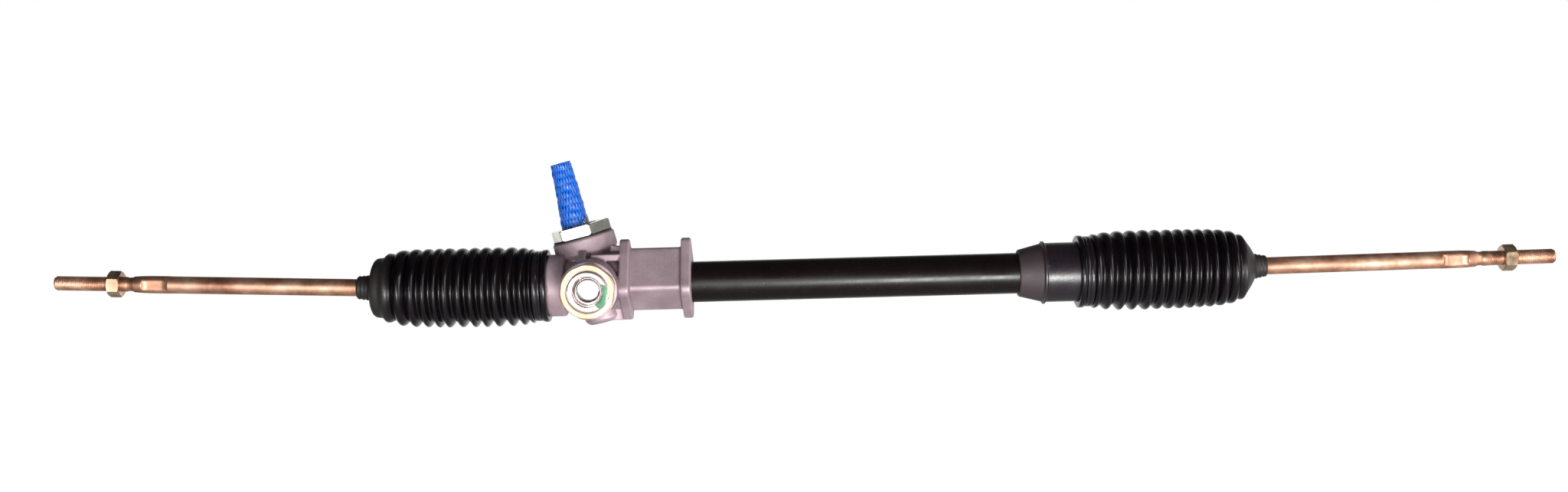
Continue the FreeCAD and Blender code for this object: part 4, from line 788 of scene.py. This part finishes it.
def floor_white():
    """A pale surface that keeps soft shadows and reads as white; in reflections its glow dims near the part as
    painted shadow.
    """
    material = bpy.data.materials.new("floor_white")
    material.use_nodes = True
    n = Tree(material.node_tree)
    n.tree.nodes.clear()
    place = n.add("ShaderNodeTexCoord").outputs["Object"]
    distance = n.math("ABSOLUTE", n.axes(place)[1])
    path = n.add("ShaderNodeLightPath").outputs
    # Painted shadow: seen in reflections, the glow falls from FLOOR_GLOW far off to 0.1 near the part.
    strength = n.math(
        "MULTIPLY", path["Is Glossy Ray"], n.spread(distance, 0.1, FLOOR_GLOW, 0.25, 1.6, smooth=True)
    )
    for ray in ("Is Transmission Ray", "Is Camera Ray"):
        strength = n.math("MULTIPLY_ADD", path[ray], FLOOR_GLOW, strength)
    glow = n.add("ShaderNodeEmission", Color=(1, 1, 1, 1))
    n.feed(strength, glow.inputs["Strength"])
    diffuse = n.add("ShaderNodeBsdfDiffuse", Color=(0.7, 0.7, 0.7, 1))
    total = n.add("ShaderNodeAddShader")
    n.feed(diffuse.outputs[0], total.inputs[0])
    n.feed(glow.outputs[0], total.inputs[1])
    n.feed(total.outputs[0], n.add("ShaderNodeOutputMaterial").inputs["Surface"])
    return material


def floor():
    signs = ((-1, -1), (1, -1), (1, 1), (-1, 1))
    corners = [(x * FLOOR_HALF_M, y * FLOOR_HALF_M, FLOOR_Z_M) for x, y in signs]
    mesh = bpy.data.meshes.new("floor")
    mesh.from_pydata(corners, [], [(0, 1, 2, 3)])
    mesh.materials.append(floor_white())
    thing = bpy.data.objects.new("floor", mesh)
    bpy.context.scene.collection.objects.link(thing)


def studio_world():
    """White to the camera. Mirrored, it is white behind the part and dimmer in front, above and aside."""
    world = bpy.data.worlds.new("studio")
    bpy.context.scene.world = world
    world.use_nodes = True
    n = Tree(world.node_tree)
    n.tree.nodes.clear()
    x, y, z = n.axes(n.add("ShaderNodeTexCoord").outputs["Generated"])
    mirrored = n.math(
        "MULTIPLY", n.spread(x, 0.04, 1.0, -0.7, -0.25, smooth=True),
        n.spread(x, 1.0, 0.3, 0.55, 0.95, smooth=True),
    )
    for part in (
        n.spread(z, 1.0, 0.08, 0.2, 0.65, smooth=True), n.spread(y, 0.5, 1.0, -0.3, 0.3, smooth=True),
    ):
        mirrored = n.math("MULTIPLY", mirrored, part)
    path = n.add("ShaderNodeLightPath").outputs
    strength = AMBIENT
    for ray, value in (("Is Glossy Ray", mirrored), ("Is Transmission Ray", 1.0), ("Is Camera Ray", 1.0)):
        mix = n.add("ShaderNodeMix")
        for source, index in ((path[ray], 0), (strength, 2), (value, 3)):
            n.feed(source, mix.inputs[index])
        strength = mix.outputs[0]
    background = n.add("ShaderNodeBackground", Color=(1, 1, 1, 1))
    n.feed(strength, background.inputs["Strength"])
    n.feed(background.outputs[0], n.add("ShaderNodeOutputWorld").inputs["Surface"])


def softbox(name, place, target, width, height, watts):
    """A rectangular lamp, in metres, that faces its target."""
    data = bpy.data.lights.new(name, "AREA")
    data.shape = "RECTANGLE"
    data.size, data.size_y = width, height
    data.energy = watts
    lamp = bpy.data.objects.new(name, data)
    bpy.context.scene.collection.objects.link(lamp)
    lamp.location = place
    lamp.rotation_euler = (Vector(target) - Vector(place)).to_track_quat("-Z", "Y").to_euler()


def photograph_camera():
    """The photograph's view: its place in metres, looking a little down, with the picture's slight roll."""
    place, pitch, roll = (-0.0165, -1.3566, 0.1554), math.radians(5.4), math.radians(-1.53)
    focal_pixels, picture_pixels = 2200, 2048
    data = bpy.data.cameras.new("camera")
    data.sensor_fit = "HORIZONTAL"
    data.sensor_width = 36
    data.lens = data.sensor_width * focal_pixels / picture_pixels
    data.clip_start, data.clip_end = 0.05, 30
    camera = bpy.data.objects.new("camera", data)
    bpy.context.scene.collection.objects.link(camera)
    ahead = Vector((0, math.cos(pitch), -math.sin(pitch)))
    level = Vector((1, 0, 0))
    above = level.cross(ahead)
    right = level * math.cos(roll) + above * math.sin(roll)
    up = above * math.cos(roll) - level * math.sin(roll)
    columns = Matrix((right, up, -ahead)).transposed()
    camera.matrix_world = Matrix.Translation(place) @ columns.to_4x4()
    bpy.context.scene.camera = camera


dress_nodes()
for end in ENDS:
    tie_rod(end)
    boot(end)
    clamp(end)
net()
cast_housing()
plug_seal()
parting_line()
adjuster()
paint_mark()
floor()
studio_world()
softbox("key", (0.3, -1.5, -0.42), (0, 0, 0), 0.34, 0.5, 27)
softbox("fill", (1.5, -0.6, 0.1), (-0.1, 0, 0), 0.5, 1.6, 14)
softbox("front", (-0.55, -1.8, -0.1), (-0.3, 0, 0), 1.5, 0.9, 15)
photograph_camera()
bpy.context.scene.view_settings.view_transform = "Standard"
